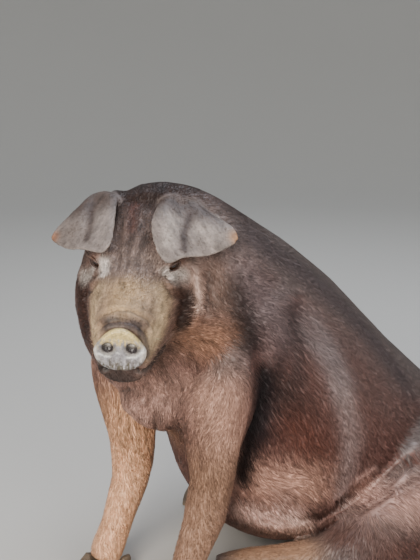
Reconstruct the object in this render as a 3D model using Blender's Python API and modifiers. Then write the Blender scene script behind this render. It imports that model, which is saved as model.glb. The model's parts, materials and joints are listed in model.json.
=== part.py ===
"""A duroc pig, life size, sitting like a dog with its head turned to its left.

The body is lofted from sections and fused into one skin, the folds are pressed into that skin,
and thin cuts then part it into named pieces. Units are metres, +Z is up, and while it is modelled
the pig faces -Y, its left side is +X and its feet stand at z = 0.
"""

import math

import bmesh
import bpy
import numpy as np
from mathutils import Matrix, Vector

# Head: the middle of the snout disc, and how the head is turned, tipped and rolled, in degrees.
NOSE = (0.175, -0.113, 0.580)
HEAD_TURN = 47.0
HEAD_TIP = 11.0
HEAD_ROLL = 2.0

DISC_WIDTH = 0.081
DISC_HEIGHT = 0.0735
DISC_DEPTH = 0.016
DISC_LEAN = 0.06
NOSTRIL_APART = 0.0365
NOSTRIL_WIDTH = 0.018

EYE_RADIUS = 0.0125
EYE_PLACE = (0.0600, 0.1885, 0.0585)
EYE_TURN = 24.0
SLIT_TILT = 24.0
SLIT_RADII = (0.0135, 0.012, 0.0058)
LID_THICKNESS = 0.0040
EAR_THICKNESS = 0.0055

CLAW_LENGTH = 0.062
CLAW_WIDTH = 0.030
CLAW_HEIGHT = 0.042
DEWCLAW_LENGTH = 0.026
DEWCLAW_WIDTH = 0.016
DEWCLAW_HEIGHT = 0.012

SIDES = {"left": 1.0, "right": -1.0}
GAP = 0.0003
SCRAP = 1e-7
SKIN_VOXEL = 0.0045
BODY_TRIANGLES = 4800
LOFT_SIDES = 40
LOFT_STEPS = 7

COAT_RED = (0.135, 0.040, 0.022)
COAT_DARK = (0.050, 0.020, 0.014)
EAR_GREY = (0.200, 0.150, 0.130)
LEG_TAN = (0.280, 0.150, 0.090)
DISC_GREY = (0.420, 0.360, 0.310)
HORN_GREY = (0.110, 0.085, 0.065)
EYE_BLACK = (0.010, 0.006, 0.004)


def start_empty():
    for old in list(bpy.data.objects):
        bpy.data.objects.remove(old, do_unlink=True)
    for old in list(bpy.data.collections):
        bpy.data.collections.remove(old)


def new_collection(name):
    made = bpy.data.collections.new(name)
    bpy.context.scene.collection.children.link(made)
    return made


def finish(name, colour, roughness):
    """A plain material of one colour."""
    made = bpy.data.materials.new(name)
    made.use_nodes = True
    shader = made.node_tree.nodes["Principled BSDF"]
    shader.inputs["Base Color"].default_value = (*colour, 1.0)
    shader.inputs["Roughness"].default_value = roughness
    shader.inputs["Metallic"].default_value = 0.0
    return made


def head_frame():
    """The matrix from head places (left, back from the nose, up) to the pig's own frame."""
    turn = Matrix.Rotation(math.radians(HEAD_TURN), 4, "Z")
    tip = Matrix.Rotation(math.radians(HEAD_TIP), 4, "X")
    roll = Matrix.Rotation(math.radians(HEAD_ROLL), 4, "Y")
    return Matrix.Translation(NOSE) @ turn @ tip @ roll


def smooth_rows(rows, steps):
    """Rows read along a Catmull-Rom spline through the given rows."""
    rows = np.asarray(rows, dtype=float)
    padded = np.vstack([2 * rows[0] - rows[1], rows, 2 * rows[-1] - rows[-2]])
    out = []
    for i in range(1, len(padded) - 2):
        a, b, c, d = padded[i - 1 : i + 3]
        slope = c - a
        bend = 2 * a - 5 * b + 4 * c - d
        twist = 3 * b - a - 3 * c + d
        for t in np.arange(steps) / steps:
            out.append(b + 0.5 * (slope * t + bend * t**2 + twist * t**3))
    out.append(rows[-1])
    return np.array(out)


def mesh_object(name, collection, points, faces, place=None):
    mesh = bpy.data.meshes.new(name)
    mesh.from_pydata([tuple(p) for p in points], [], faces)
    if place is not None:
        mesh.transform(place)
    made = bpy.data.objects.new(name, mesh)
    collection.objects.link(made)
    shell = bmesh.new()
    shell.from_mesh(mesh)
    bmesh.ops.recalc_face_normals(shell, faces=shell.faces)
    shell.to_mesh(mesh)
    shell.free()
    return made


def loft(name, collection, sections, square=2.2, place=None, steps=LOFT_STEPS, sides=LOFT_SIDES, taper=0.0):
    """A closed body through oval sections.

    A section is its upper point, its lower point, half its width and the turn of its width in degrees.
    Taper narrows the upper part of every section.
    """
    rows = [(*top, *low, half, turn) for top, low, half, turn in sections]
    rows = smooth_rows(rows, steps)
    points = []
    for row in rows:
        top, low = Vector(row[0:3]), Vector(row[3:6])
        middle, rise = (top + low) / 2, (top - low) / 2
        turn = math.radians(row[7])
        across = Vector((math.cos(turn), math.sin(turn), 0.0)) * max(row[6], 0.001)
        for k in range(sides):
            angle = 2 * math.pi * k / sides
            c, s = math.cos(angle), math.sin(angle)
            side = math.copysign(abs(c) ** (2 / square), c)
            lift = math.copysign(abs(s) ** (2 / square), s)
            points.append(middle + across * side * (1 - taper * max(lift, 0.0)) + rise * lift)
    faces = []
    rings = len(rows)
    for i in range(rings - 1):
        for k in range(sides):
            n = (k + 1) % sides
            faces.append((i * sides + k, i * sides + n, (i + 1) * sides + n, (i + 1) * sides + k))
    faces.append(tuple(range(sides))[::-1])
    faces.append(tuple((rings - 1) * sides + k for k in range(sides)))
    return mesh_object(name, collection, points, faces, place)


def tube(name, collection, stations, steps=LOFT_STEPS, sides=20):
    """A round body along a path: each station is its middle and its radius."""
    rows = smooth_rows([(*middle, radius) for middle, radius in stations], steps)
    points = []
    aside = Vector((1.0, 0.0, 0.0))
    for i, row in enumerate(rows):
        ahead = Vector(rows[min(i + 1, len(rows) - 1)][:3]) - Vector(rows[max(i - 1, 0)][:3])
        ahead.normalize()
        aside = (aside - ahead * aside.dot(ahead)).normalized()
        over = ahead.cross(aside)
        for k in range(sides):
            angle = 2 * math.pi * k / sides
            points.append(Vector(row[:3]) + (aside * math.cos(angle) + over * math.sin(angle)) * row[3])
    faces = []
    for i in range(len(rows) - 1):
        for k in range(sides):
            n = (k + 1) % sides
            faces.append((i * sides + k, i * sides + n, (i + 1) * sides + n, (i + 1) * sides + k))
    faces.append(tuple(range(sides))[::-1])
    faces.append(tuple((len(rows) - 1) * sides + k for k in range(sides)))
    return mesh_object(name, collection, points, faces)


def ball(name, collection, middle, radii, turn=0.0, tip=0.0, place=None, segments=32, rings=20):
    """An ellipsoid, turned about Z and then tipped about its own X, in degrees."""
    mesh = bpy.data.meshes.new(name)
    shell = bmesh.new()
    bmesh.ops.create_uvsphere(shell, u_segments=segments, v_segments=rings, radius=1.0)
    shape = (
        Matrix.Translation(middle)
        @ Matrix.Rotation(math.radians(turn), 4, "Z")
        @ Matrix.Rotation(math.radians(tip), 4, "X")
        @ Matrix.Diagonal((*radii, 1.0))
    )
    bmesh.ops.transform(shell, matrix=shape if place is None else place @ shape, verts=shell.verts)
    shell.to_mesh(mesh)
    shell.free()
    made = bpy.data.objects.new(name, mesh)
    collection.objects.link(made)
    return made


def box(name, collection, middle, size, place=None):
    mesh = bpy.data.meshes.new(name)
    shell = bmesh.new()
    bmesh.ops.create_cube(shell, size=1.0)
    shape = Matrix.Translation(middle) @ Matrix.Diagonal((*size, 1.0))
    bmesh.ops.transform(shell, matrix=shape if place is None else place @ shape, verts=shell.verts)
    shell.to_mesh(mesh)
    shell.free()
    made = bpy.data.objects.new(name, mesh)
    collection.objects.link(made)
    return made


def apply_all(body):
    """The body's mesh as its modifiers leave it."""
    view = bpy.context.evaluated_depsgraph_get()
    made = bpy.data.meshes.new_from_object(body.evaluated_get(view))
    body.modifiers.clear()
    old = body.data
    body.data = made
    bpy.data.meshes.remove(old)


def boolean(body, other, operation):
    change = body.modifiers.new(operation.title(), "BOOLEAN")
    change.operation = operation
    change.object = other
    apply_all(body)


def join(name, parts):
    """One object that holds the meshes of several."""
    shell = bmesh.new()
    for part in parts:
        shell.from_mesh(part.data)
    mesh = bpy.data.meshes.new(name)
    shell.to_mesh(mesh)
    shell.free()
    made = bpy.data.objects.new(name, mesh)
    parts[0].users_collection[0].objects.link(made)
    for part in parts:
        bpy.data.objects.remove(part, do_unlink=True)
    return made


def islands(mesh):
    """The mesh's separate closed surfaces, as lists of face numbers."""
    parent = list(range(len(mesh.vertices)))

    def root(i):
        while parent[i] != i:
            parent[i] = parent[parent[i]]
            i = parent[i]
        return i

    for edge in mesh.edges:
        a, b = (root(v) for v in edge.vertices)
        parent[a] = b
    groups = {}
    for face in mesh.polygons:
        groups.setdefault(root(face.vertices[0]), []).append(face.index)
    return list(groups.values())


def volume_of(points, triangles):
    a, b, c = points[triangles[:, 0]], points[triangles[:, 1]], points[triangles[:, 2]]
    return float(np.einsum("ij,ij->i", a, np.cross(b, c)).sum() / 6.0)


def loose_meshes(mesh, name):
    """Each closed surface of a mesh as a mesh of its own, with its volume."""
    found = []
    for faces in islands(mesh):
        shell = bmesh.new()
        shell.from_mesh(mesh)
        shell.faces.ensure_lookup_table()
        keep = set(faces)
        bmesh.ops.delete(shell, geom=[f for f in shell.faces if f.index not in keep], context="FACES")
        bmesh.ops.triangulate(shell, faces=shell.faces)
        part = bpy.data.meshes.new(name)
        shell.to_mesh(part)
        shell.free()
        points = np.array([v.co for v in part.vertices])
        triangles = np.array([p.vertices for p in part.polygons])
        found.append((volume_of(points, triangles), part))
    return found


def keep_largest(body):
    """Drops every loose scrap and sealed hollow, and keeps the largest closed surface."""
    found = loose_meshes(body.data, body.data.name)
    found.sort(key=lambda item: item[0])
    body.data = found[-1][1]


def holds(body, point):
    """Whether a point lies inside a closed body."""
    ray = Vector((0.0137, 0.0071, 1.0)).normalized()
    start, hits = Vector(point), 0
    while True:
        hit, place, _, _ = body.ray_cast(start, ray)
        if not hit:
            return hits % 2 == 1
        hits += 1
        start = place + ray * 1e-6


# The trunk in side view: the line of the back, the line of the belly, and half the width.
TRUNK = [
    ((0, 1.004, 0.120), (0, 0.985, 0.065), 0.035, 0),
    ((0, 0.982, 0.155), (0, 0.890, 0.015), 0.110, 0),
    ((0, 0.934, 0.199), (0, 0.770, 0.000), 0.165, 0),
    ((0, 0.816, 0.295), (0, 0.540, 0.002), 0.196, 0),
    ((0, 0.673, 0.412), (0, 0.350, 0.010), 0.210, 0),
    ((0, 0.577, 0.495), (0, 0.250, 0.062), 0.214, 0),
    ((0, 0.480, 0.580), (0, 0.185, 0.158), 0.206, 0),
    ((0, 0.390, 0.648), (0, 0.155, 0.252), 0.190, 0),
    ((0, 0.322, 0.692), (0, 0.118, 0.316), 0.178, 0),
    ((-0.003, 0.236, 0.742), (0.007, 0.070, 0.355), 0.168, 4),
    ((-0.007, 0.165, 0.780), (0.023, 0.022, 0.405), 0.152, 14),
    ((-0.014, 0.110, 0.792), (0.048, -0.020, 0.470), 0.122, 28),
    ((-0.002, 0.070, 0.780), (0.078, -0.040, 0.510), 0.100, 40),
]

# The head in its own frame: distance back from the nose, height of the top and of the underside,
# and half the width.
HEAD = [
    (0.010, 0.030, -0.050, 0.034),
    (0.018, 0.035, -0.070, 0.041),
    (0.035, 0.041, -0.079, 0.046),
    (0.060, 0.046, -0.083, 0.052),
    (0.090, 0.052, -0.088, 0.061),
    (0.120, 0.058, -0.096, 0.069),
    (0.150, 0.067, -0.106, 0.078),
    (0.185, 0.086, -0.118, 0.088),
    (0.220, 0.107, -0.130, 0.095),
    (0.255, 0.124, -0.138, 0.099),
    (0.290, 0.134, -0.138, 0.098),
    (0.325, 0.136, -0.120, 0.094),
    (0.360, 0.118, -0.085, 0.070),
]


def head_sections():
    return [((0, back, top), (0, back, low), half, 0) for back, top, low, half in HEAD]


# Where each foreleg passes, from the shoulder to the pastern: middle and radius.
FORELEGS = {
    "left": [
        ((0.115, 0.175, 0.520), 0.070),
        ((0.128, 0.130, 0.430), 0.074),
        ((0.130, 0.116, 0.345), 0.056),
        ((0.124, 0.111, 0.265), 0.042),
        ((0.116, 0.102, 0.195), 0.040),
        ((0.110, 0.076, 0.130), 0.033),
        ((0.110, 0.060, 0.085), 0.033),
        ((0.110, 0.044, 0.048), 0.035),
        ((0.110, 0.036, 0.026), 0.033),
    ],
    "right": [
        ((-0.115, 0.170, 0.520), 0.070),
        ((-0.126, 0.105, 0.430), 0.074),
        ((-0.118, 0.096, 0.345), 0.060),
        ((-0.105, 0.096, 0.265), 0.047),
        ((-0.100, 0.087, 0.195), 0.041),
        ((-0.100, 0.062, 0.130), 0.034),
        ((-0.101, 0.044, 0.085), 0.033),
        ((-0.102, 0.026, 0.048), 0.035),
        ((-0.102, 0.018, 0.026), 0.033),
    ],
}

# Each hind leg from the hip over the stifle and the hock to the pastern, lying on the floor.
HIND_LEGS = {
    "left": [
        ((0.060, 0.870, 0.110), 0.080),
        ((0.150, 0.740, 0.100), 0.115),
        ((0.205, 0.610, 0.090), 0.112),
        ((0.240, 0.500, 0.080), 0.098),
        ((0.244, 0.415, 0.066), 0.074),
        ((0.222, 0.342, 0.050), 0.053),
        ((0.172, 0.268, 0.043), 0.044),
        ((0.122, 0.202, 0.039), 0.040),
        ((0.086, 0.156, 0.031), 0.035),
    ],
    "right": [
        ((-0.060, 0.870, 0.110), 0.080),
        ((-0.150, 0.760, 0.100), 0.115),
        ((-0.205, 0.670, 0.095), 0.115),
        ((-0.240, 0.595, 0.088), 0.102),
        ((-0.246, 0.535, 0.066), 0.070),
        ((-0.238, 0.490, 0.046), 0.047),
        ((-0.222, 0.440, 0.036), 0.038),
        ((-0.206, 0.395, 0.034), 0.035),
        ((-0.194, 0.362, 0.031), 0.034),
    ],
}

# The tail lies on the floor behind the rump in a loose curve.
TAIL = [
    ((0.000, 0.950, 0.100), 0.024),
    ((0.000, 1.005, 0.075), 0.019),
    ((0.008, 1.045, 0.035), 0.014),
    ((0.034, 1.072, 0.010), 0.011),
    ((0.075, 1.086, 0.008), 0.0095),
    ((0.120, 1.078, 0.007), 0.008),
    ((0.150, 1.050, 0.006), 0.007),
    ((0.150, 1.020, 0.006), 0.006),
]


def flesh(collection, head):
    """The whole soft body as overlapping lofts and balls, before it is fused."""
    parts = [loft("trunk", collection, TRUNK, square=2.1)]
    parts.append(loft("skull", collection, head_sections(), square=2.45, place=head))
    for side, sign in SIDES.items():
        parts.append(tube("foreleg_" + side, collection, FORELEGS[side]))
        parts.append(tube("hindleg_" + side, collection, HIND_LEGS[side], sides=28))
        shoulder = (sign * 0.108, 0.195, 0.500)
        parts.append(ball("shoulder", collection, shoulder, (0.080, 0.105, 0.165), tip=-34))
        haunch = (sign * 0.130, 0.730, 0.125)
        parts.append(ball("haunch", collection, haunch, (0.130, 0.230, 0.122), turn=sign * 18, tip=-16))
        ham = (sign * 0.150, 0.800, 0.140)
        parts.append(ball("ham", collection, ham, (0.125, 0.160, 0.145)))
        cheek = (sign * 0.055, 0.235, -0.055)
        parts.append(ball("cheek", collection, cheek, (0.050, 0.080, 0.075), place=head))
        brow = (sign * 0.048, 0.205, 0.066)
        parts.append(ball("brow", collection, brow, (0.032, 0.040, 0.026), place=head))
        ear_root = (sign * 0.074, 0.304, 0.088)
        parts.append(ball("ear_root", collection, ear_root, (0.036, 0.032, 0.041), place=head))
        ear_bridge = (sign * 0.046, 0.296, 0.112)
        parts.append(ball("ear_bridge", collection, ear_bridge, (0.030, 0.040, 0.030), place=head))
    parts.append(tube("tail", collection, TAIL, sides=16))
    parts.append(ball("dewlap", collection, (0.020, 0.060, 0.420), (0.080, 0.055, 0.075)))
    parts.append(ball("seat", collection, (0.000, 0.835, 0.115), (0.225, 0.170, 0.130)))
    parts.append(ball("belly", collection, (0.000, 0.385, 0.164), (0.208, 0.178, 0.154)))
    return parts


# Folds, each as the points of its line, its half width and its height. A height below zero is a
# groove. The first set is in the head's frame and is made on both sides, the second in the pig's.
HEAD_FOLDS = [
    ([(0.093, 0.205, 0.050), (0.102, 0.215, 0.000), (0.106, 0.222, -0.060)], 0.010, 0.005),
    ([(0.082, 0.185, 0.030), (0.088, 0.175, -0.020), (0.082, 0.160, -0.060)], 0.016, -0.009),
    ([(0.040, 0.175, 0.032), (0.062, 0.178, 0.030), (0.082, 0.190, 0.028)], 0.009, -0.004),
    ([(0.000, 0.032, 0.042), (0.026, 0.030, 0.036), (0.044, 0.034, 0.012)], 0.005, -0.004),
    ([(0.000, 0.046, 0.045), (0.028, 0.044, 0.040), (0.048, 0.050, 0.010)], 0.005, 0.003),
    (
        [(0.034, 0.020, -0.048), (0.052, 0.060, -0.050), (0.062, 0.100, -0.046), (0.068, 0.130, -0.036)],
        0.005,
        -0.005,
    ),
    ([(0.028, 0.205, 0.100), (0.026, 0.160, 0.074), (0.024, 0.120, 0.062)], 0.008, -0.003),
    ([(0.100, 0.278, 0.078), (0.094, 0.270, 0.082), (0.088, 0.262, 0.086)], 0.014, -0.012),
]

BODY_FOLDS = [
    (
        [(0.020, -0.010, 0.470), (-0.030, 0.020, 0.420), (-0.020, 0.055, 0.375), (0.030, 0.060, 0.370)],
        0.010,
        -0.008,
    ),
    ([(0.030, 0.060, 0.370), (0.060, 0.020, 0.400), (0.075, -0.010, 0.450)], 0.010, -0.007),
    (
        [(0.195, 0.172, 0.540), (0.190, 0.160, 0.440), (0.182, 0.152, 0.350), (0.165, 0.160, 0.290)],
        0.018,
        -0.014,
    ),
    (
        [(-0.195, 0.170, 0.540), (-0.186, 0.160, 0.440), (-0.170, 0.155, 0.350), (-0.150, 0.165, 0.290)],
        0.018,
        -0.014,
    ),
    (
        [(0.200, 0.630, 0.200), (0.235, 0.520, 0.180), (0.225, 0.420, 0.160), (0.185, 0.345, 0.125)],
        0.014,
        -0.012,
    ),
    (
        [(0.205, 0.640, 0.225), (0.240, 0.520, 0.205), (0.225, 0.410, 0.185), (0.180, 0.330, 0.150)],
        0.012,
        0.007,
    ),
    (
        [(-0.205, 0.690, 0.210), (-0.240, 0.620, 0.190), (-0.235, 0.540, 0.160), (-0.195, 0.440, 0.110)],
        0.014,
        -0.012,
    ),
]


def distance_to(path, points):
    """How far each point lies from the nearest place on a path."""
    nearest = np.full(len(points), 1e9)
    for a, b in zip(path[:-1], path[1:]):
        along = b - a
        t = np.clip((points - a) @ along / max(float(along @ along), 1e-12), 0, 1)
        nearest = np.minimum(nearest, np.linalg.norm(points - a - t[:, None] * along, axis=1))
    return nearest


def press_folds(body, folds, place=None, mirror=False):
    """Moves the skin along its normals near each fold line, and near its mirror image if asked."""
    mesh = body.data
    count = len(mesh.vertices)
    points = np.empty(count * 3)
    mesh.vertices.foreach_get("co", points)
    points = points.reshape(-1, 3)
    normals = np.array([n.vector for n in mesh.vertex_normals])
    moved = np.zeros(count)
    for line, width, height in folds:
        path = smooth_rows(line, 8)
        paths = [path, path * (-1, 1, 1)] if mirror else [path]
        if place is not None:
            paths = [np.array([place @ Vector(p) for p in path]) for path in paths]
        low = np.min(np.vstack(paths), axis=0) - 4 * width
        high = np.max(np.vstack(paths), axis=0) + 4 * width
        near = np.where(np.all((points > low) & (points < high), axis=1))[0]
        away = np.min([distance_to(path, points[near]) for path in paths], axis=0)
        moved[near] += height * np.exp(-((away / width) ** 2))
    points = points + normals * moved[:, None]
    mesh.vertices.foreach_set("co", points.ravel())
    mesh.update()


def fuse(parts):
    """One even skin round all the parts, with the creases between them eased."""
    body = join("skin", parts)
    wrap = body.modifiers.new("Wrap", "REMESH")
    wrap.mode = "VOXEL"
    wrap.voxel_size = SKIN_VOXEL
    ease = body.modifiers.new("Ease", "SMOOTH")
    ease.factor = 0.5
    ease.iterations = 14
    apply_all(body)
    return body


def thin_out(body, head):
    """Fewer faces, with more of them kept on the head and the feet than on the trunk."""
    coarse = body.vertex_groups.new(name="coarse")
    middle = head @ Vector((0.0, 0.14, 0.0))
    for vertex in body.data.vertices:
        from_head = (vertex.co - middle).length
        keep = min(max((from_head - 0.17) / 0.10, 0.0), 1.0)
        if vertex.co.z < 0.12 and vertex.co.y < 0.45:
            keep = min(keep, 0.5)
        if vertex.co.y > 0.99:
            keep = 0.0
        coarse.add([vertex.index], 0.62 + 0.38 * keep, "REPLACE")
    drop = body.modifiers.new("Thin", "DECIMATE")
    drop.decimate_type = "COLLAPSE"
    drop.vertex_group = coarse.name
    drop.vertex_group_factor = 1.0
    drop.use_collapse_triangulate = True
    triangles = sum(len(p.vertices) - 2 for p in body.data.polygons)
    drop.ratio = BODY_TRIANGLES / triangles
    apply_all(body)
    body.vertex_groups.clear()


# The ears in the head's frame, in spokes from the forehead round to the tip: where each spoke
# leaves the head, its middle, and where it ends on the free edge. Both are written as if on the left.
EAR_SPOKES = {
    "left": [
        ((0.030, 0.262, 0.134), (0.023, 0.215, 0.121), (0.029, 0.176, 0.097)),
        ((0.044, 0.298, 0.137), (0.048, 0.222, 0.131), (0.055, 0.148, 0.072)),
        ((0.067, 0.312, 0.136), (0.073, 0.246, 0.119), (0.083, 0.168, 0.080)),
        ((0.092, 0.306, 0.127), (0.110, 0.238, 0.124), (0.126, 0.182, 0.076)),
        ((0.100, 0.292, 0.090), (0.140, 0.258, 0.114), (0.178, 0.222, 0.092)),
    ],
    "right": [
        ((0.040, 0.272, 0.137), (0.036, 0.215, 0.119), (0.034, 0.176, 0.100)),
        ((0.060, 0.300, 0.145), (0.053, 0.222, 0.122), (0.048, 0.150, 0.086)),
        ((0.082, 0.312, 0.138), (0.081, 0.246, 0.112), (0.082, 0.170, 0.085)),
        ((0.095, 0.305, 0.133), (0.102, 0.238, 0.114), (0.114, 0.186, 0.075)),
        ((0.102, 0.292, 0.120), (0.127, 0.258, 0.104), (0.155, 0.222, 0.078)),
    ],
}
EAR_DEEPER = 0.012
EAR_HEART = (0.050, 0.285, 0.040)


def ear_cage(side):
    """The ear's sheet as a grid of points, six along each spoke."""
    rows = []
    for root, middle, edge in EAR_SPOKES[side]:
        root, middle, edge = Vector(root), Vector(middle), Vector(edge)
        inward = (Vector(EAR_HEART) - root).normalized()
        bend = 2 * middle - (root + edge) / 2
        spoke = [root + inward * EAR_DEEPER]
        for t in (0.0, 0.25, 0.5, 0.75, 1.0):
            spoke.append(root * (1 - t) ** 2 + bend * 2 * t * (1 - t) + edge * t**2)
        rows.append(spoke)
    grid = np.array([[tuple(p) for p in spoke] for spoke in rows])
    finer = smooth_rows(grid.reshape(len(rows), -1), 2).reshape(-1, grid.shape[1], 3)
    finer[:, :, 0] *= SIDES[side]
    return finer


def ear(name, collection, side, head):
    """One ear as a thin sheet with walls, its root sunk into the head."""
    grid = ear_cage(side)
    columns, rows = grid.shape[:2]
    points = grid.reshape(-1, 3)
    faces = []
    for i in range(columns - 1):
        for j in range(rows - 1):
            a = i * rows + j
            faces.append((a, a + rows, a + rows + 1, a + 1))
    made = mesh_object(name, collection, points, faces, head)
    round_off = made.modifiers.new("Round", "SUBSURF")
    round_off.levels = 1
    round_off.render_levels = 1
    wall = made.modifiers.new("Wall", "SOLIDIFY")
    wall.thickness = EAR_THICKNESS
    wall.offset = 0.0
    wall.use_even_offset = False
    apply_all(made)
    shell = bmesh.new()
    shell.from_mesh(made.data)
    bmesh.ops.triangulate(shell, faces=shell.faces)
    bmesh.ops.recalc_face_normals(shell, faces=shell.faces)
    shell.to_mesh(made.data)
    shell.free()
    return made


def swollen(name, collection, body, clearance):
    """A copy of a closed body with every face moved out by the clearance."""
    shell = bmesh.new()
    shell.from_mesh(body.data)
    shell.normal_update()
    for vertex in shell.verts:
        vertex.co += vertex.normal * vertex.calc_shell_factor() * clearance
    mesh = bpy.data.meshes.new(name)
    shell.to_mesh(mesh)
    shell.free()
    made = bpy.data.objects.new(name, mesh)
    collection.objects.link(made)
    return made


# A claw from heel to toe: how far along it is, and its share of the full height and width.
CLAW_PROFILE = [
    (0.00, 0.46, 0.55),
    (0.10, 0.62, 0.86),
    (0.30, 0.84, 1.00),
    (0.52, 1.00, 1.00),
    (0.76, 0.72, 0.84),
    (0.92, 0.42, 0.56),
    (1.00, 0.24, 0.26),
]


def claw(name, collection, place, length, width, height, extra=0.0):
    """A hoof claw: a flat sole, a rounded wall that slopes to the toe, heel at the back."""
    sections = []
    stretch = 1.0 + 2 * extra / length
    for t, tall, wide in CLAW_PROFILE:
        y = length * (0.45 - t) * stretch
        top = (0.0, y + 0.25 * height * (1 - t), tall * height + extra)
        low = (0.0, y, -tall * height * 0.9 - extra)
        sections.append((top, low, wide * width / 2 + extra, 0))
    return loft(name, collection, sections, square=2.3, place=place, steps=1, sides=10)


# Each foot: where its claws stand under the pastern's end, and which way its toes point.
FEET = {
    "fore_left": ((0.110, 0.006), (0.02, -1.0)),
    "fore_right": ((-0.102, -0.012), (-0.04, -1.0)),
    "hind_left": ((0.064, 0.130), (-0.60, -0.80)),
    "hind_right": ((-0.186, 0.330), (0.24, -0.97)),
}
CLAW_SPLAY = 4.0
CLAW_CLEFT = 0.0044
DEWCLAW_APART = 0.048
DEWCLAW_BEHIND = 0.062
DEWCLAW_UP = 0.020
DEWCLAW_TIP = 24.0


def foot_frame(stands, ahead):
    """The matrix that puts a foot's claws in place on the floor."""
    toe_turn = math.atan2(ahead[0], -ahead[1])
    return Matrix.Translation((*stands, 0.0)) @ Matrix.Rotation(toe_turn, 4, "Z")


def above_floor(body, collection):
    """Cuts away what would lie under the floor."""
    floor = box("floor_cut", collection, (0, 0.4, -0.25), (2.4, 3.0, 0.5))
    boolean(body, floor, "DIFFERENCE")
    bpy.data.objects.remove(floor, do_unlink=True)
    keep_largest(body)


def hooves(part, cutters):
    """Every claw and dewclaw, and a slightly larger copy of each to cut its seat in the foot."""
    horn = finish("hoof horn", HORN_GREY, 0.45)
    made = []
    seats = []
    claw_size = (CLAW_LENGTH, CLAW_WIDTH, CLAW_HEIGHT)
    dewclaw_size = (DEWCLAW_LENGTH, DEWCLAW_WIDTH, DEWCLAW_HEIGHT)
    for foot, (stands, ahead) in FEET.items():
        place = foot_frame(stands, ahead)
        away = SIDES[foot.split("_")[1]]
        for label, sign in (("outer", away), ("inner", -away)):
            splay = Matrix.Rotation(math.radians(-CLAW_SPLAY * sign), 4, "Z")
            spot = place @ Matrix.Translation((sign * (CLAW_WIDTH + CLAW_CLEFT) / 2, 0, 0)) @ splay
            made.append(claw("hoof_" + foot + "_" + label, part, spot, *claw_size))
            seats.append(claw("seat", cutters, spot, *claw_size, extra=GAP))
            behind = Matrix.Translation((sign * DEWCLAW_APART / 2, DEWCLAW_BEHIND, DEWCLAW_UP))
            spot = place @ behind @ Matrix.Rotation(math.radians(DEWCLAW_TIP), 4, "X")
            made.append(claw("dewclaw_" + foot + "_" + label, part, spot, *dewclaw_size))
            seats.append(claw("seat", cutters, spot, *dewclaw_size, extra=GAP))
    for hoof in made:
        above_floor(hoof, cutters)
        hoof.data.materials.append(horn)
        hoof.data.name = hoof.name
    return made, seats


# The disc from its dished middle out over the rim and back: depth behind the rim, and share of its size.
DISC_PROFILE = [
    (0.0035, 0.55),
    (0.0012, 0.80),
    (0.0000, 0.90),
    (0.0022, 0.975),
    (0.0065, 1.00),
    (0.0120, 0.97),
    (DISC_DEPTH, 0.92),
]


def snout_disc(part, cutters, head):
    """The flat rostral disc with its rim and two nostrils."""
    half, tall = DISC_WIDTH / 2, DISC_HEIGHT / 2
    sections = []
    for back, grow in DISC_PROFILE:
        lift = 0.90 * tall * grow
        drop = 1.10 * tall * grow
        top = (0, back - DISC_LEAN * lift, lift)
        low = (0, back + DISC_LEAN * drop, -drop)
        sections.append((top, low, half * grow, 0))
    disc = loft("snout_disc", part, sections, square=2.3, place=head, steps=1, sides=32, taper=0.40)
    for sign in (1.0, -1.0):
        middle = (sign * NOSTRIL_APART / 2, 0.0005, 0.001)
        radii = (NOSTRIL_WIDTH / 2, 0.011, NOSTRIL_WIDTH / 2 * 1.15)
        hole = ball("nostril", cutters, middle, radii, turn=sign * 14, place=head, segments=16, rings=10)
        boolean(disc, hole, "DIFFERENCE")
        bpy.data.objects.remove(hole, do_unlink=True)
    keep_largest(disc)
    disc.data.materials.append(finish("snout skin", DISC_GREY, 0.35))
    return disc


def eyes_and_lids(skin, part, cutters, head):
    """Each eyeball, the lids that swell over it and the slit between them."""
    black = finish("eye", EYE_BLACK, 0.08)
    fine = {"segments": 20, "rings": 12}
    made = []
    for side, sign in SIDES.items():
        middle = (sign * EYE_PLACE[0], EYE_PLACE[1], EYE_PLACE[2])
        lid = EYE_RADIUS + LID_THICKNESS
        cover = ball("lids", cutters, middle, (lid, lid, lid * 0.92), place=head, **fine)
        boolean(skin, cover, "UNION")
        hollow = EYE_RADIUS + GAP
        socket = ball("socket", cutters, middle, (hollow, hollow, hollow), place=head, **fine)
        boolean(skin, socket, "DIFFERENCE")
        gaze = Matrix.Translation(middle) @ Matrix.Rotation(math.radians(sign * EYE_TURN), 4, "Z")
        gaze = gaze @ Matrix.Rotation(math.radians(-sign * SLIT_TILT), 4, "Y")
        slit = ball("slit", cutters, (0, -0.014, -0.001), SLIT_RADII, place=head @ gaze, **fine)
        boolean(skin, slit, "DIFFERENCE")
        for cutter in (cover, socket, slit):
            bpy.data.objects.remove(cutter, do_unlink=True)
        radius = EYE_RADIUS
        eye = ball("eye_" + side, part, middle, (radius, radius, radius), place=head, segments=16, rings=10)
        eye.data.materials.append(black)
        made.append(eye)
    keep_largest(skin)
    return made


# The line of the mouth in the head's frame, from the disc back past its corner and down behind the
# chin: distance back from the nose, and height.
MOUTH = [(0.000, -0.0475), (0.030, -0.0500), (0.070, -0.0515), (0.105, -0.0475), (0.134, -0.0370)]
CHIN_BACK = [(0.146, -0.070), (0.152, -0.200)]
JAW_REACH = 0.16


def strip_faces(count):
    """Faces round a row of four-cornered sections, with both broad sides split into triangles alike."""
    faces = [(0, 1, 3, 2)]
    for i in range(count - 1):
        a, b = 4 * i, 4 * (i + 1)
        faces += [(a, a + 2, b + 2), (a, b + 2, b)]
        faces += [(a + 1, b + 3, a + 3), (a + 1, b + 1, b + 3)]
        faces += [(a, b, b + 1, a + 1), (a + 2, a + 3, b + 3, b + 2)]
    last = 4 * (count - 1)
    faces.append((last, last + 2, last + 3, last + 1))
    return faces


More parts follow.
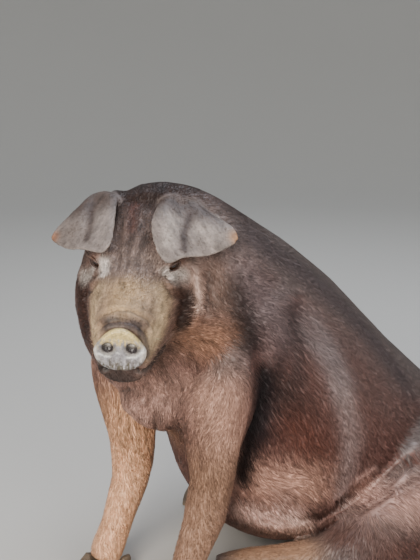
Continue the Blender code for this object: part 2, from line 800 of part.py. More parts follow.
def jaw_cut(cutters, head):
    """A thin sheet along the mouth and down behind the chin."""
    path = np.vstack([smooth_rows(MOUTH, 4), CHIN_BACK])
    points = []
    for i, (back, up) in enumerate(path):
        ahead = path[min(i + 1, len(path) - 1)] - path[max(i - 1, 0)]
        ahead = ahead / np.linalg.norm(ahead)
        off = np.array([-ahead[1], ahead[0]]) * GAP / 2
        for x in (-JAW_REACH, JAW_REACH):
            points.append((x, back + off[0], up + off[1]))
            points.append((x, back - off[0], up - off[1]))
    return mesh_object("jaw_cut", cutters, points, strip_faces(len(path)), head)


def slab(name, cutters, middle, turn, tip, wide, tall):
    """A sheet as thin as the gap, square to the direction that turn and tip give."""
    place = (
        Matrix.Translation(middle)
        @ Matrix.Rotation(math.radians(turn), 4, "Z")
        @ Matrix.Rotation(math.radians(tip), 4, "X")
    )
    return box(name, cutters, (0, 0, 0), (wide, GAP, tall), place)


# The upright cuts that part each hind leg from the trunk, from the front of the belly back to the
# seat: the line along the floor, and the higher line that leans out past the flank.
HIND_LEG_CUTS = {
    "left": (
        [
            (0.000, 0.200),
            (0.068, 0.235),
            (0.100, 0.285),
            (0.126, 0.335),
            (0.152, 0.400),
            (0.162, 0.500),
            (0.145, 0.620),
            (0.115, 0.750),
            (0.090, 0.870),
            (0.070, 1.060),
        ],
        [
            (0.010, 0.185, 0.09),
            (0.094, 0.232, 0.09),
            (0.150, 0.285, 0.10),
            (0.194, 0.335, 0.12),
            (0.236, 0.410, 0.20),
            (0.262, 0.520, 0.25),
            (0.270, 0.620, 0.32),
            (0.260, 0.750, 0.34),
            (0.225, 0.870, 0.34),
            (0.180, 1.080, 0.34),
        ],
    ),
    "right": (
        [
            (-0.138, 0.290),
            (-0.140, 0.370),
            (-0.152, 0.450),
            (-0.164, 0.530),
            (-0.168, 0.600),
            (-0.150, 0.680),
            (-0.115, 0.780),
            (-0.090, 0.880),
            (-0.070, 1.060),
        ],
        [
            (-0.184, 0.280, 0.095),
            (-0.188, 0.370, 0.098),
            (-0.208, 0.450, 0.15),
            (-0.252, 0.530, 0.22),
            (-0.268, 0.600, 0.28),
            (-0.268, 0.680, 0.33),
            (-0.255, 0.780, 0.34),
            (-0.225, 0.880, 0.34),
            (-0.180, 1.080, 0.34),
        ],
    ),
}
CUT_FLOOR = -0.02

# The thin flat cuts: the piece that each runs through, its middle, turn and tip in degrees, width
# and height.
CUTS = [
    ("chest", (-0.026, 0.073, 0.627), 37.5, -40, 0.50, 0.60),
    ("chest", (0.000, 0.150, 0.590), 14, -33, 0.60, 0.62),
    ("chest", (0.000, 0.320, 0.410), 0, -35.5, 0.70, 0.74),
    ("belly", (0.000, 0.620, 0.210), 0, -42, 0.80, 0.90),
    ("rump", (0.003, 1.032, 0.048), 0, -42, 0.06, 0.07),
    ("chest", (0.126, 0.102, 0.308), 20, 47, 0.130, 0.150),
    ("chest", (-0.108, 0.088, 0.308), -20, 58, 0.130, 0.150),
    ("foreleg_left_upper", (0.114, 0.095, 0.175), 0, 72, 0.12, 0.12),
    ("foreleg_right_upper", (-0.100, 0.080, 0.175), 0, 72, 0.12, 0.12),
    ("hindleg_left_thigh", (0.222, 0.342, 0.050), -34, -4, 0.15, 0.18),
    ("hindleg_right_thigh", (-0.238, 0.490, 0.050), 14, -4, 0.17, 0.18),
]

# A point inside each piece of flesh, which names it.
PIECES = {
    "neck": (-0.040, 0.130, 0.620),
    "chest": (0.000, 0.250, 0.500),
    "belly": (0.000, 0.450, 0.330),
    "rump": (0.000, 0.800, 0.150),
    "tail": (0.034, 1.072, 0.006),
    "foreleg_left_upper": (0.120, 0.107, 0.240),
    "foreleg_right_upper": (-0.103, 0.092, 0.240),
    "foreleg_left_lower": (0.110, 0.076, 0.120),
    "foreleg_right_lower": (-0.100, 0.060, 0.120),
    "hindleg_left_thigh": (0.240, 0.480, 0.080),
    "hindleg_right_thigh": (-0.240, 0.580, 0.080),
    "hindleg_left_foot": (0.165, 0.260, 0.040),
    "hindleg_right_foot": (-0.222, 0.440, 0.036),
}
HEAD_PIECES = {"head": (0.0, 0.20, 0.0), "jaw": (0.0, 0.09, -0.070)}


def wall(name, cutters, low_line, high_line):
    """An upright sheet as thin as the gap between a line at the floor and a line above it."""
    low = smooth_rows([(x, y, CUT_FLOOR) for x, y in low_line], 3)
    high = smooth_rows(high_line, 3)
    points = []
    for i in range(len(low)):
        for line in (low, high):
            ahead = line[min(i + 1, len(line) - 1)] - line[max(i - 1, 0)]
            off = np.array([-ahead[1], ahead[0], 0.0])
            off *= GAP / 2 / np.linalg.norm(off)
            points += [line[i] + off, line[i] - off]
    return mesh_object(name, cutters, points, strip_faces(len(low)))


def cut_with(body, cutter):
    boolean(body, cutter, "DIFFERENCE")
    bpy.data.objects.remove(cutter, do_unlink=True)


def cut_apart(pieces, mark, part, cutter):
    """Cuts the piece that holds the mark, and puts what comes off beside the others."""
    bpy.context.view_layer.update()
    target = next(piece for piece in pieces if holds(piece, mark))
    cut_with(target, cutter)
    pieces.remove(target)
    for volume, mesh in loose_meshes(target.data, "piece"):
        if volume > SCRAP:
            piece = bpy.data.objects.new("piece", mesh)
            part.objects.link(piece)
            pieces.append(piece)
    bpy.data.objects.remove(target, do_unlink=True)


def part_body(skin, part, cutters, head):
    """Runs every thin cut through the fused body and names the pieces."""
    marks = dict(PIECES)
    for name, place in HEAD_PIECES.items():
        marks[name] = tuple(head @ Vector(place))
    pieces = [skin]
    for side, lines in HIND_LEG_CUTS.items():
        cut_apart(pieces, marks["hindleg_" + side + "_thigh"], part, wall("cut", cutters, *lines))
    for name, middle, turn, tip, wide, tall in CUTS:
        cut_apart(pieces, marks[name], part, slab("cut", cutters, middle, turn, tip, wide, tall))
    cut_apart(pieces, marks["head"], part, jaw_cut(cutters, head))
    coats = {
        "coat": finish("red coat", COAT_RED, 0.55),
        "dark": finish("dark coat", COAT_DARK, 0.45),
        "legs": finish("leg coat", LEG_TAN, 0.60),
    }
    named = []
    bpy.context.view_layer.update()
    for name, mark in marks.items():
        piece = next((piece for piece in pieces if holds(piece, mark)), None)
        if piece is None:
            raise RuntimeError("no piece of flesh of its own holds the mark of " + name)
        pieces.remove(piece)
        piece.name = name
        piece.data.name = name
        coat = "legs" if "leg" in name else "dark" if name in ("neck", "rump") else "coat"
        piece.data.materials.append(coats[coat])
        named.append(piece)
    for scrap in pieces:
        bpy.data.objects.remove(scrap, do_unlink=True)
    return named


def stand_on_origin(objects):
    """Moves everything so that the middle of the box's underside is the origin."""
    low = Vector((1e9, 1e9, 1e9))
    high = -low
    for item in objects:
        for vertex in item.data.vertices:
            low = Vector(map(min, low, vertex.co))
            high = Vector(map(max, high, vertex.co))
    shift = Matrix.Translation((-(low.x + high.x) / 2, -(low.y + high.y) / 2, -low.z))
    for item in objects:
        item.data.transform(shift)


def ears(skin, part, cutters, head):
    """Both ears, and the slots in the head that their roots sit in."""
    grey = finish("ear skin", EAR_GREY, 0.60)
    made = []
    for side in SIDES:
        shell = ear("ear_" + side, part, side, head)
        cut_with(skin, swollen("slot", cutters, shell, GAP))
        shell.data.materials.append(grey)
        made.append(shell)
    return made


def build():
    start_empty()
    part = new_collection("duroc_pig")
    cutters = new_collection("cutters")
    head = head_frame()
    skin = fuse(flesh(cutters, head))
    press_folds(skin, HEAD_FOLDS, head, mirror=True)
    press_folds(skin, BODY_FOLDS)
    thin_out(skin, head)
    behind = Matrix.Translation((0, DISC_DEPTH + 2 * GAP, 0))
    lean = Matrix.Rotation(math.atan(DISC_LEAN), 4, "X")
    cut_with(skin, box("disc_seat", cutters, (0, -0.05, 0), (0.20, 0.10, 0.20), head @ behind @ lean))
    pieces = eyes_and_lids(skin, part, cutters, head)
    pieces += ears(skin, part, cutters, head)
    claws, seats = hooves(part, cutters)
    for seat in seats:
        cut_with(skin, seat)
    pieces += claws
    pieces.append(snout_disc(part, cutters, head))
    above_floor(skin, cutters)
    pieces += part_body(skin, part, cutters, head)
    for piece in pieces:
        piece.data.shade_smooth()
        piece.data.set_sharp_from_angle(angle=math.radians(50))
    stand_on_origin(pieces)
    return pieces


if __name__ == "__main__":
    build()
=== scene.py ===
"""A duroc pig, life size, sitting like a dog with its head turned to its left: its hide, coat and horn."""

import json
import math

import bmesh
import bpy
import numpy as np
from mathutils import Matrix, Vector
from mathutils.bvhtree import BVHTree

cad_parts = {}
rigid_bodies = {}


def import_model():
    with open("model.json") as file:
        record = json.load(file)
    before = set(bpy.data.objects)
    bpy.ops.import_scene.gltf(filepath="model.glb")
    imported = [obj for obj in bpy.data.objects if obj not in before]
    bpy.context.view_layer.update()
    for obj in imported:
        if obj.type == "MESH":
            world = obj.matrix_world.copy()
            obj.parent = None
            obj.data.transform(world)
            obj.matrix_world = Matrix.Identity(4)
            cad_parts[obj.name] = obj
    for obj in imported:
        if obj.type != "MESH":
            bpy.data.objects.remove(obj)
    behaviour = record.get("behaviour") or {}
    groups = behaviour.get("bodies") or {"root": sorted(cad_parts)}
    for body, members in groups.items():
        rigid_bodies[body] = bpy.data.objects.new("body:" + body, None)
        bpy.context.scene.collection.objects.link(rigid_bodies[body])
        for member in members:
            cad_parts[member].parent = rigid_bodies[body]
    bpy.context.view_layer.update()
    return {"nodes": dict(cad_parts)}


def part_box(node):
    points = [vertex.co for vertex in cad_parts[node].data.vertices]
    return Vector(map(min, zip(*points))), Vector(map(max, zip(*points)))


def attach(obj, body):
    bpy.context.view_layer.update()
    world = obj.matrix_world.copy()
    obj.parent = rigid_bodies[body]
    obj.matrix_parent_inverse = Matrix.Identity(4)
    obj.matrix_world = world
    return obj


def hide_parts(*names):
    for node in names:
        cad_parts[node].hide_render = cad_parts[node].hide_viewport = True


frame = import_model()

# The head's own frame: x to the pig's left, y back from the snout, z up through the crown. The whole
# face is laid out from it. The head is turned to the pig's left, tipped back a little and leant.
HEAD_TURN = 47.0
HEAD_TIP = 11.0
HEAD_LEAN = 2.0
EYE_BACK = 0.1885
EYE_UP = 0.0585


def middle_of(node):
    low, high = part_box(node)
    return (low + high) / 2


HEAD = Matrix.Rotation(math.radians(HEAD_TURN), 4, "Z") @ Matrix.Rotation(math.radians(HEAD_TIP), 4, "X")
HEAD = HEAD @ Matrix.Rotation(math.radians(HEAD_LEAN), 4, "Y")
between_eyes = (middle_of("eye_left") + middle_of("eye_right")) / 2
nose = between_eyes - HEAD.to_3x3() @ Vector((0, EYE_BACK, EYE_UP))
HEAD.translation = nose

# The camera stands to the pig's left front, a little above its back, and looks down at its face. The
# lens keeps the hooves just below the picture's edge, as the photograph does.
CAMERA_FROM_NOSE = Vector((0.9590, -0.6280, 0.4130))
CAMERA_TURN = 50.0
CAMERA_RISE = 15.0
LENS_MM = 52.0
SENSOR_MM = 36.0

turn, rise = math.radians(CAMERA_TURN), math.radians(CAMERA_RISE)
back = Vector((math.sin(turn) * math.cos(rise), -math.cos(turn) * math.cos(rise), math.sin(rise)))
facing = (-back).to_track_quat("-Z", "Y").to_euler()
bpy.ops.object.camera_add(location=nose + CAMERA_FROM_NOSE, rotation=facing)
camera = bpy.context.object
camera.name = "camera"
camera.data.sensor_fit = "VERTICAL"
camera.data.sensor_height = SENSOR_MM
camera.data.lens = LENS_MM
bpy.context.scene.camera = camera

# A plain pale studio: a matt floor whose rim curves up into a wall all round, with no edge in sight,
# a large soft key from the front, a broad overhead panel for the sheen on the back, and a low fill.
FLOOR_HEX = "#bdbcb8"
ROOM_HEX = "#dfe3e8"
FLOOR_RADIUS = 4.2
CURVE_RADIUS = 3.6
CURVE_STEPS = 12
WALL_HEIGHT = 6.0
LIT_MIDDLE = (0.0, -0.2, 0.4)
LIGHTS = {
    "key_light": {"place": (1.3, -2.8, 1.8), "size": 1.8, "power": 125, "colour": "#fff6ec"},
    "overhead_light": {"place": (-0.3, 0.9, 3.2), "size": 2.6, "power": 70, "colour": "#eaf1ff"},
    "fill_light": {"place": (2.9, -0.2, 1.2), "size": 1.8, "power": 40, "colour": "#fff6ec"},
}


def linear(colour):
    """An sRGB hex colour as linear red, green and blue."""
    values = [int(colour[i : i + 2], 16) / 255 for i in (1, 3, 5)]
    return tuple(v / 12.92 if v <= 0.04045 else ((v + 0.055) / 1.055) ** 2.4 for v in values)


def solid(colour):
    return (*linear(colour), 1)


def add_node(tree, kind, settings=None, inputs=None):
    """A node with its settings, and its inputs set to values or linked to other nodes' outputs."""
    made = tree.nodes.new(kind)
    for name, value in (settings or {}).items():
        setattr(made, name, value)
    for name, value in (inputs or {}).items():
        if isinstance(value, bpy.types.NodeSocket):
            tree.links.new(value, made.inputs[name])
        else:
            made.inputs[name].default_value = value
    return made


def new_material(name):
    """A new material, its tree, and the shader that its output shows."""
    made = bpy.data.materials.new(name)
    made.use_nodes = True
    return made, made.node_tree, made.node_tree.nodes["Principled BSDF"]


def aim(lamp, place, target, size, power, colour):
    """A square soft light at a place, turned to its target."""
    direction = (Vector(target) - Vector(place)).to_track_quat("-Z", "Y").to_euler()
    bpy.ops.object.light_add(type="AREA", location=place, rotation=direction)
    made = bpy.context.object
    made.name = lamp
    made.data.size = size
    made.data.energy = power
    made.data.color = linear(colour)


bpy.ops.mesh.primitive_circle_add(vertices=128, radius=FLOOR_RADIUS, fill_type="NGON", location=(0, 0, 0))
floor = bpy.context.object
floor.name = "studio_floor"
bpy.ops.object.mode_set(mode="EDIT")
bpy.ops.mesh.select_mode(type="EDGE")
bpy.ops.mesh.select_all(action="SELECT")
reach, height = FLOOR_RADIUS, 0.0
profile = []
for k in range(1, CURVE_STEPS + 1):
    angle = math.radians(90 * k / CURVE_STEPS)
    profile.append((FLOOR_RADIUS + CURVE_RADIUS * math.sin(angle), CURVE_RADIUS * (1 - math.cos(angle))))
for wide, tall in profile + [(profile[-1][0], WALL_HEIGHT)]:
    bpy.ops.mesh.extrude_edges_move(TRANSFORM_OT_translate={"value": (0, 0, tall - height)})
    bpy.ops.transform.resize(value=(wide / reach, wide / reach, 1), center_override=(0, 0, 0))
    reach, height = wide, tall
bpy.ops.object.mode_set(mode="OBJECT")
bpy.ops.object.shade_smooth_by_angle(angle=math.radians(30))
paint, tree, shader = new_material("matt floor paint")
shader.inputs["Base Color"].default_value = solid(FLOOR_HEX)
shader.inputs["Roughness"].default_value = 0.85
floor.data.materials.append(paint)

room = bpy.data.worlds.new("room")
room.use_nodes = True
room.node_tree.nodes["Background"].inputs["Color"].default_value = solid(ROOM_HEX)
room.node_tree.nodes["Background"].inputs["Strength"].default_value = 0.75
bpy.context.scene.world = room
for lamp, facts in LIGHTS.items():
    aim(lamp, target=LIT_MIDDLE, **facts)

# The hide: one closed skin from the snout to the tail, ears included. It starts as the solids of
# flesh, which are fused, eased where their facets show, and drawn in by the depth of the coat.
FLESH = ["head", "jaw", "neck", "chest", "belly", "rump", "tail", "ear_left", "ear_right"]
FLESH += [f"foreleg_{side}_{part}" for side in ("left", "right") for part in ("upper", "lower")]
FLESH += [f"hindleg_{side}_{part}" for side in ("left", "right") for part in ("thigh", "foot")]
HIDE_VOXEL = 0.0027
HIDE_EASE = 90
HIDE_TRIANGLES = 180000
COAT_DEPTH = 0.0016
FACE_MIDDLE = (0, 0.16, 0.02)
FACE_REACH = (0.19, 0.27)
EASE_LESS_ON_LIMBS = 0.72
EASE_ON_FACE = 0.08
KEPT_ON_FACE = 0.85


def copy_of(names, name):
    """The named solids joined in one new object at the origin, with their corners merged."""
    bpy.ops.object.select_all(action="DESELECT")
    for source in names:
        piece = frame["nodes"][source].copy()
        piece.data = piece.data.copy()
        piece.parent = None
        for key in list(piece.keys()):
            del piece[key]
        bpy.context.scene.collection.objects.link(piece)
        piece.select_set(True)
        bpy.context.view_layer.objects.active = piece
    if len(names) > 1:
        bpy.ops.object.join()
    made = bpy.context.view_layer.objects.active
    made.name = name
    made.data.name = name
    made.data.materials.clear()
    bpy.ops.object.mode_set(mode="EDIT")
    bpy.ops.mesh.select_all(action="SELECT")
    bpy.ops.mesh.remove_doubles(threshold=1e-5)
    bpy.ops.object.mode_set(mode="OBJECT")
    return made


def apply_modifier(piece, kind, **settings):
    """Gives the active piece a modifier with its settings, and applies it."""
    made = piece.modifiers.new(kind.title(), kind)
    for name, value in settings.items():
        setattr(made, name, value)
    bpy.ops.object.modifier_apply(modifier=made.name)


def points_of(mesh, kind="co"):
    """The places of a mesh's vertices, or what else of theirs has three numbers."""
    values = np.empty(len(mesh.vertices) * 3)
    mesh.vertices.foreach_get(kind, values)
    return values.reshape(-1, 3)


def faces_of(mesh):
    return np.array([face.vertices[:] for face in mesh.polygons])


def put_points(mesh, points):
    mesh.vertices.foreach_set("co", np.asarray(points, dtype=float).ravel())
    mesh.update()


def to_head(points):
    """Places in the room as places in the head's frame."""
    turn_back = np.array(HEAD.to_3x3())
    return (points - np.array(HEAD.translation)) @ turn_back


def step(values, low, high):
    """Nought below the low value, one above the high one and smooth between."""
    t = np.clip((values - low) / (high - low), 0, 1)
    return t * t * (3 - 2 * t)


def face_share(points):
    """One over the face and ears, nought on the rest of the body."""
    own = to_head(points)
    return 1 - step(np.linalg.norm(own - FACE_MIDDLE, axis=1), *FACE_REACH)


def limb_share(points):
    """One on the legs below the body and on the tail, nought on the trunk."""
    low_front = 1 - step(points[:, 2], 0.22, 0.34)
    front = 1 - step(points[:, 1], -0.36, -0.28)
    tail = step(points[:, 1], 0.49, 0.53)
    feet = (1 - step(points[:, 2], 0.08, 0.13)) * (1 - step(points[:, 1], -0.16, -0.06))
    return np.clip(low_front * front + tail + feet, 0, 1)


def weigh(piece, name, shares):
    """A vertex group with a share for each vertex."""
    group = piece.vertex_groups.new(name=name)
    levels = np.round(shares, 2)
    for level in np.unique(levels):
        group.add([int(i) for i in np.where(levels == level)[0]], float(level), "REPLACE")
    return group


hide = copy_of(FLESH, "hide")
apply_modifier(hide, "REMESH", mode="VOXEL", voxel_size=HIDE_VOXEL)
points = points_of(hide.data)
faceness, limbness = face_share(points), limb_share(points)
eased_share = (1 - faceness) * (1 - EASE_LESS_ON_LIMBS * limbness) + EASE_ON_FACE * faceness
eased = weigh(hide, "eased", eased_share)
apply_modifier(hide, "SMOOTH", factor=0.5, iterations=HIDE_EASE, vertex_group=eased.name)

# Folds and wrinkles that the hide takes between its hair: the arches over the snout, the crease of
# the mouth, the bags under the eyes, furrows on the brow and slack skin at the throat and elbow.

# Each fold is its line, its half width and its height, in millimetres: a furrow's is below zero. The
# head's folds are on both sides, and its turn presses three more into the near cheek.
HEAD_FOLDS = [
    ([(0, 26, 41), (22, 26, 35), (40, 30, 10)], 3.6, -3.2),
    ([(0, 35, 45), (24, 34, 39), (45, 40, 10)], 4.2, 3),
    ([(0, 45, 47), (26, 44, 41), (49, 50, 8)], 3.6, -2.8),
    ([(0, 56, 49), (24, 55, 44), (46, 62, 20)], 5, 1.6),
    ([(22, 16, -46), (45, 50, -49), (58, 95, -46), (68, 132, -36)], 3, -4.8),
    ([(24, 18, -54), (48, 54, -58), (62, 98, -56)], 4, 2.2),
    ([(44, 160, 44), (56, 156, 40), (74, 168, 36)], 3.6, -2.6),
    ([(42, 152, 38), (58, 149, 32), (80, 162, 28)], 4.5, 2.6),
    ([(44, 143, 30), (62, 141, 21), (84, 156, 13)], 4.2, -2.8),
    ([(12, 235, 120), (13, 190, 100), (11, 150, 78)], 5.5, -2),
    ([(30, 240, 120), (30, 195, 98), (26, 150, 76)], 5, -1.8),
    ([(68, 150, -30), (74, 125, -56), (70, 90, -78)], 7, -3),
]
CHEEK_FOLDS = [
    ([(100, 200, 40), (105, 183, 21), (107, 166, -12), (100, 150, -40)], 6.5, 4.8),
    ([(90, 176, 20), (88, 156, -6), (84, 138, -30)], 9, -4.5),
    ([(118, 200, 36), (122, 184, 8), (120, 168, -22)], 6, -3.4),
]
BODY_FOLDS = [
    ([(36, -476, 445), (-20, -470, 415), (-70, -440, 440)], 7.5, -6),
    ([(60, -470, 420), (10, -455, 392), (-45, -430, 400)], 7, 4.5),
    ([(85, -460, 400), (40, -430, 365), (-10, -420, 360)], 6.5, -5.5),
    ([(30, -415, 372), (60, -400, 345), (75, -390, 300)], 6.5, 5.5),
    ([(182, -300, 480), (165, -297, 420), (148, -293, 347), (110, -285, 240)], 11, -6),
    ([(236, -60, 190), (246, 20, 205), (235, 100, 225)], 9, 5.5),
    ([(246, -30, 150), (262, 30, 160), (262, 100, 175)], 8, -5),
    ([(215, -110, 150), (236, -60, 160), (250, -10, 172)], 8, -5.5),
    ([(218, 56, 194), (208, -37, 150), (186, -138, 118)], 7.5, 6),
    ([(200, -60, 170), (190, -130, 145), (170, -185, 135)], 8, -5),
    ([(180, -200, 120), (200, -140, 110), (214, -90, 115)], 11, 4.5),
]


def metres(places):
    """Places in millimetres as places in metres."""
    return np.array(places) / 1000


def on_head(places):
    """Places in the head's frame, in millimetres, as places in the room, in metres."""
    return [tuple(HEAD @ Vector(place)) for place in metres(places)]


def mirrored(places):
    return [(-x, y, z) for x, y, z in places]


def bell(away, reach, power=2):
    """One where the distance is nought, falling away past the reach."""
    return np.exp(-((away / reach) ** power))


def smooth_line(places, steps=8):
    """Places read along a Catmull-Rom spline through the given ones."""
    rows = np.asarray(places, dtype=float)
    rows = np.vstack([2 * rows[0] - rows[1], rows, 2 * rows[-1] - rows[-2]])
    out = []
    for a, b, c, d in zip(rows, rows[1:], rows[2:], rows[3:]):
        for t in np.arange(steps) / steps:
            bend = 2 * a - 5 * b + 4 * c - d
            out.append(b + 0.5 * ((c - a) * t + bend * t**2 + (3 * b - a - 3 * c + d) * t**3))
    out.append(rows[-2])
    return np.array(out)


def away_from(path, points):
    """How far each point lies from the nearest place on a path."""
    nearest = np.full(len(points), 1e9)
    for a, b in zip(path[:-1], path[1:]):
        along = b - a
        t = np.clip((points - a) @ along / max(float(along @ along), 1e-12), 0, 1)
        nearest = np.minimum(nearest, np.linalg.norm(points - a - t[:, None] * along, axis=1))
    return nearest


def surface_of(mesh):
    """A search tree over a mesh, for the nearest place on it."""
    shell = bmesh.new()
    shell.from_mesh(mesh)
    found = BVHTree.FromBMesh(shell)
    shell.free()
    return found


def folds_at(points, on_skin):
    """The height of the folds at each point, from lines that are laid on the skin first."""
    height = np.zeros(len(points))
    folds = [([on_head(line), on_head(mirrored(line))], w, h) for line, w, h in HEAD_FOLDS]
    folds += [([on_head(line)], w, h) for line, w, h in CHEEK_FOLDS]
    folds += [([metres(line)], w, h) for line, w, h in BODY_FOLDS]
    for lines, wide_mm, tall_mm in folds:
        wide, tall = wide_mm / 1000, tall_mm / 1000
        laid = [
            np.array([on_skin.find_nearest(Vector(p))[0] for p in smooth_line(line)]) for line in lines
        ]
        low = np.min(np.vstack(laid), axis=0) - 4 * wide
        high = np.max(np.vstack(laid), axis=0) + 4 * wide
        near = np.where(np.all((points > low) & (points < high), axis=1))[0]
        away = np.min([away_from(path, points[near]) for path in laid], axis=0)
        height[near] += tall * bell(away, wide)
    return height


points, normals = points_of(hide.data), points_of(hide.data, "normal")
drawn_in = COAT_DEPTH * (1 - 0.6 * face_share(points))
put_points(hide.data, points + normals * (folds_at(points, surface_of(hide.data)) - drawn_in)[:, None])

coarse = weigh(hide, "coarse", 1 - KEPT_ON_FACE * face_share(points))
apply_modifier(
    hide, "DECIMATE", decimate_type="COLLAPSE", vertex_group=coarse.name, vertex_group_factor=1.0,
    use_collapse_triangulate=True, ratio=min(1.0, HIDE_TRIANGLES / (2 * len(hide.data.polygons))),
)
hide.vertex_groups.clear()
hide.data.shade_smooth()

# The marking of the hide and coat: a dark brown back whose cool grey is partly painted sheen, red-brown
# flanks, a mahogany crown, an ochre muzzle, rusty jowls, grey ears, and paler, pinker hair on the chest,
# belly, thighs and legs. Some marks are painted shade in grooves, hollows and creases, and some are
# painted sheen and highlights on the back, flanks, folds and the right foreleg.
# Skin that faces up takes the back's colour: its dark brown hair, cooled grey by painted sheen.
BACK_WITH_SHEEN_HEX = "#716765"
SIDE_HEX = "#70504a"
UNDER_HEX = "#8d6a5e"

# Each mark is its line and its reach, in millimetres, its colour and its strength, and "both" where
# the other side has it too. Later marks lie over earlier ones.
BODY_MARKS = {
    "nape": ([(30, -360, 775), (40, -260, 745)], 70, "#4c3f3f", 0.85, "both"),
    # Painted shade along the back's outline, where it turns away from the light.
    "ridge": (
        [(110, -272, 700), (124, -163, 630), (140, -51, 535), (150, 51, 435), (165, 136, 335)],
        34, "#51474a", 0.70, "both",
    ),
    "shoulder": ([(150, -330, 620), (165, -250, 540)], 60, "#6f6264", 0.75, "both"),
    "rib sheen": ([(176, -180, 535), (191, -145, 477), (206, -113, 406)], 32, "#908586", 0.75, "both"),
    # Painted shade in the groove behind the shoulder.
    "shade behind the shoulder": ([(187, -285, 450), (184, -246, 423), (192, -222, 395)], 40, "#3a2b29", 0.85, "both"),
    # Painted shade: a thin dark band between painted bands of sheen on the ribs and flank.
    "dark band": ([(176, -233, 572), (183, -220, 511), (189, -216, 451)], 15, "#453838", 0.75, "both"),
    "neck side": ([(152, -345, 625), (172, -330, 540)], 30, "#2b2020", 0.92, "both"),
    "throat": ([(100, -440, 450), (30, -470, 410), (-60, -440, 440)], 55, "#c09a8c", 0.90),
    "chest side": ([(176, -400, 450), (182, -390, 360)], 48, "#cba08c", 0.90, "both"),
    "left foreleg": ([(151, -402, 290), (133, -422, 146), (130, -430, 30)], 75, "#ab866e", 0.92),
    # The pig's right front leg: pinker hair, made much paler by painted light from the front.
    "lit right foreleg": ([(-75, -409, 340), (-73, -440, 117), (-71, -462, 30)], 75, "#ffc99f", 0.92),
    "red flank": ([(190, -225, 350), (205, -160, 280)], 50, "#683f34", 0.85, "both"),
    # Painted sheen: a pale band down the flank where the light glances off it.
    "flank sheen": ([(210, -110, 400), (213, -89, 287), (214, -100, 210)], 30, "#a89491", 0.65, "both"),
    "belly": ([(137, -268, 240), (168, -232, 235), (192, -176, 220)], 50, "#d2a491", 0.88, "both"),
    "low belly": ([(100, -250, 150), (162, -196, 128)], 36, "#f6d0c3", 0.92, "both"),
    # Painted shade in the pocket between the belly's bulge and the flank's fold.
    "shaded pocket": ([(179, -178, 146), (192, -156, 168)], 18, "#432a24", 0.80, "both"),
    # Painted highlight along the lit ridge of the fold on the flank.
    "flank fold highlight": ([(218, 56, 194), (208, -37, 150), (186, -138, 118)], 10, "#a9887c", 0.30, "both"),
    "thigh": ([(229, -40, 155), (290, 0, 165), (300, 90, 170)], 50, "#c39b8e", 0.88, "both"),
    "low thigh": ([(226, -121, 105), (317, -52, 90), (320, 80, 70)], 45, "#5f4038", 0.80, "both"),
    "hind foot": ([(196, -202, 85), (128, -270, 70)], 45, "#a98468", 0.85),
    # Painted shade in the groove between the foreleg and the chest, in this mark and the next one up.
    "armpit": (
        [(180, -300, 475), (165, -297, 420), (148, -293, 347), (110, -285, 240)],
        21, "#261a1c", 0.95, "both",
    ),
    "high armpit": ([(186, -302, 448), (165, -282, 391), (155, -283, 345)], 26, "#2a1f22", 0.92, "both"),
}
HEAD_MARKS = {
    "whole face": ([(0, 110, 20), (0, 210, 60)], 125, "#846c5f", 0.75),
    "crown": ([(-30, 285, 130), (30, 290, 140)], 70, "#25150f", 0.96),
    "brow": ([(0, 225, 110), (0, 195, 92)], 36, "#62524c", 0.85),
    "brow streak": ([(-12, 262, 128), (-10, 215, 104)], 10, "#56342c", 0.60),
    "muzzle": ([(0, 92, 54), (0, 40, 36)], 40, "#a98c66", 0.92),
    "side of the muzzle": ([(42, 120, 25), (46, 70, 0), (43, 25, -6)], 24, "#c8ae88", 0.85, "both"),
    "between the eyes": ([(-24, 156, 69), (24, 156, 69)], 30, "#83726a", 0.85),
    "cheek": ([(128, 205, 40), (135, 185, -10)], 24, "#6d574d", 0.80),
    "jowl": ([(90, 140, -50), (120, 150, -65), (135, 170, -60)], 34, "#98715a", 0.85),
    "far cheek": ([(-95, 190, 10), (-90, 150, -55)], 40, "#3c2620", 0.95),
    # Painted shade in the deep dip of the near cheek, before its ridge.
    "shade in the cheek hollow": ([(86, 166, 8), (80, 142, -24)], 20, "#38251f", 0.95),
    "under the left eye": ([(56, 146, 30), (70, 152, 20)], 12, "#63493f", 0.85),
    "cheek ridge": ([(100, 196, 36), (105, 183, 21), (107, 164, -14)], 10, "#b99d8f", 0.75),
    "bag of the left eye": ([(64, 163, 46), (79, 184, 40)], 13, "#d9cfc8", 0.95),
    "inner corner of the left eye": ([(49, 156, 54), (54, 161, 57)], 7, "#cfc4bd", 0.80),
    "inner corner of the right eye": ([(-49, 165, 62), (-47, 148, 55)], 10, "#dcd3cc", 0.92),
    "bag of the right eye": ([(-72, 178, 40), (-88, 198, 22)], 13, "#c6bcb5", 0.92),
    # Painted shade under the snout: this mark and the next, darkest at the chin.
    "under the chin": ([(-40, 50, -70), (0, 55, -85), (45, 80, -80)], 46, "#4f3b32", 0.70),
    "chin": ([(-36, 34, -50), (0, 30, -66), (40, 60, -72)], 32, "#241a16", 0.93),
    "lip of the snout": (
        [(-26, 16, 27), (0, 15, 35), (26, 16, 26), (41, 18, 2), (40, 20, -16)],
        10, "#4c413b", 0.88,
    ),
    # Painted shade in the furrow above the snout.
    "shade in the snout wrinkle": ([(-30, 28, 32), (0, 24, 42), (36, 28, 26)], 12.5, "#3a2e30", 0.92),
}
EAR_HEX = "#7d736e"
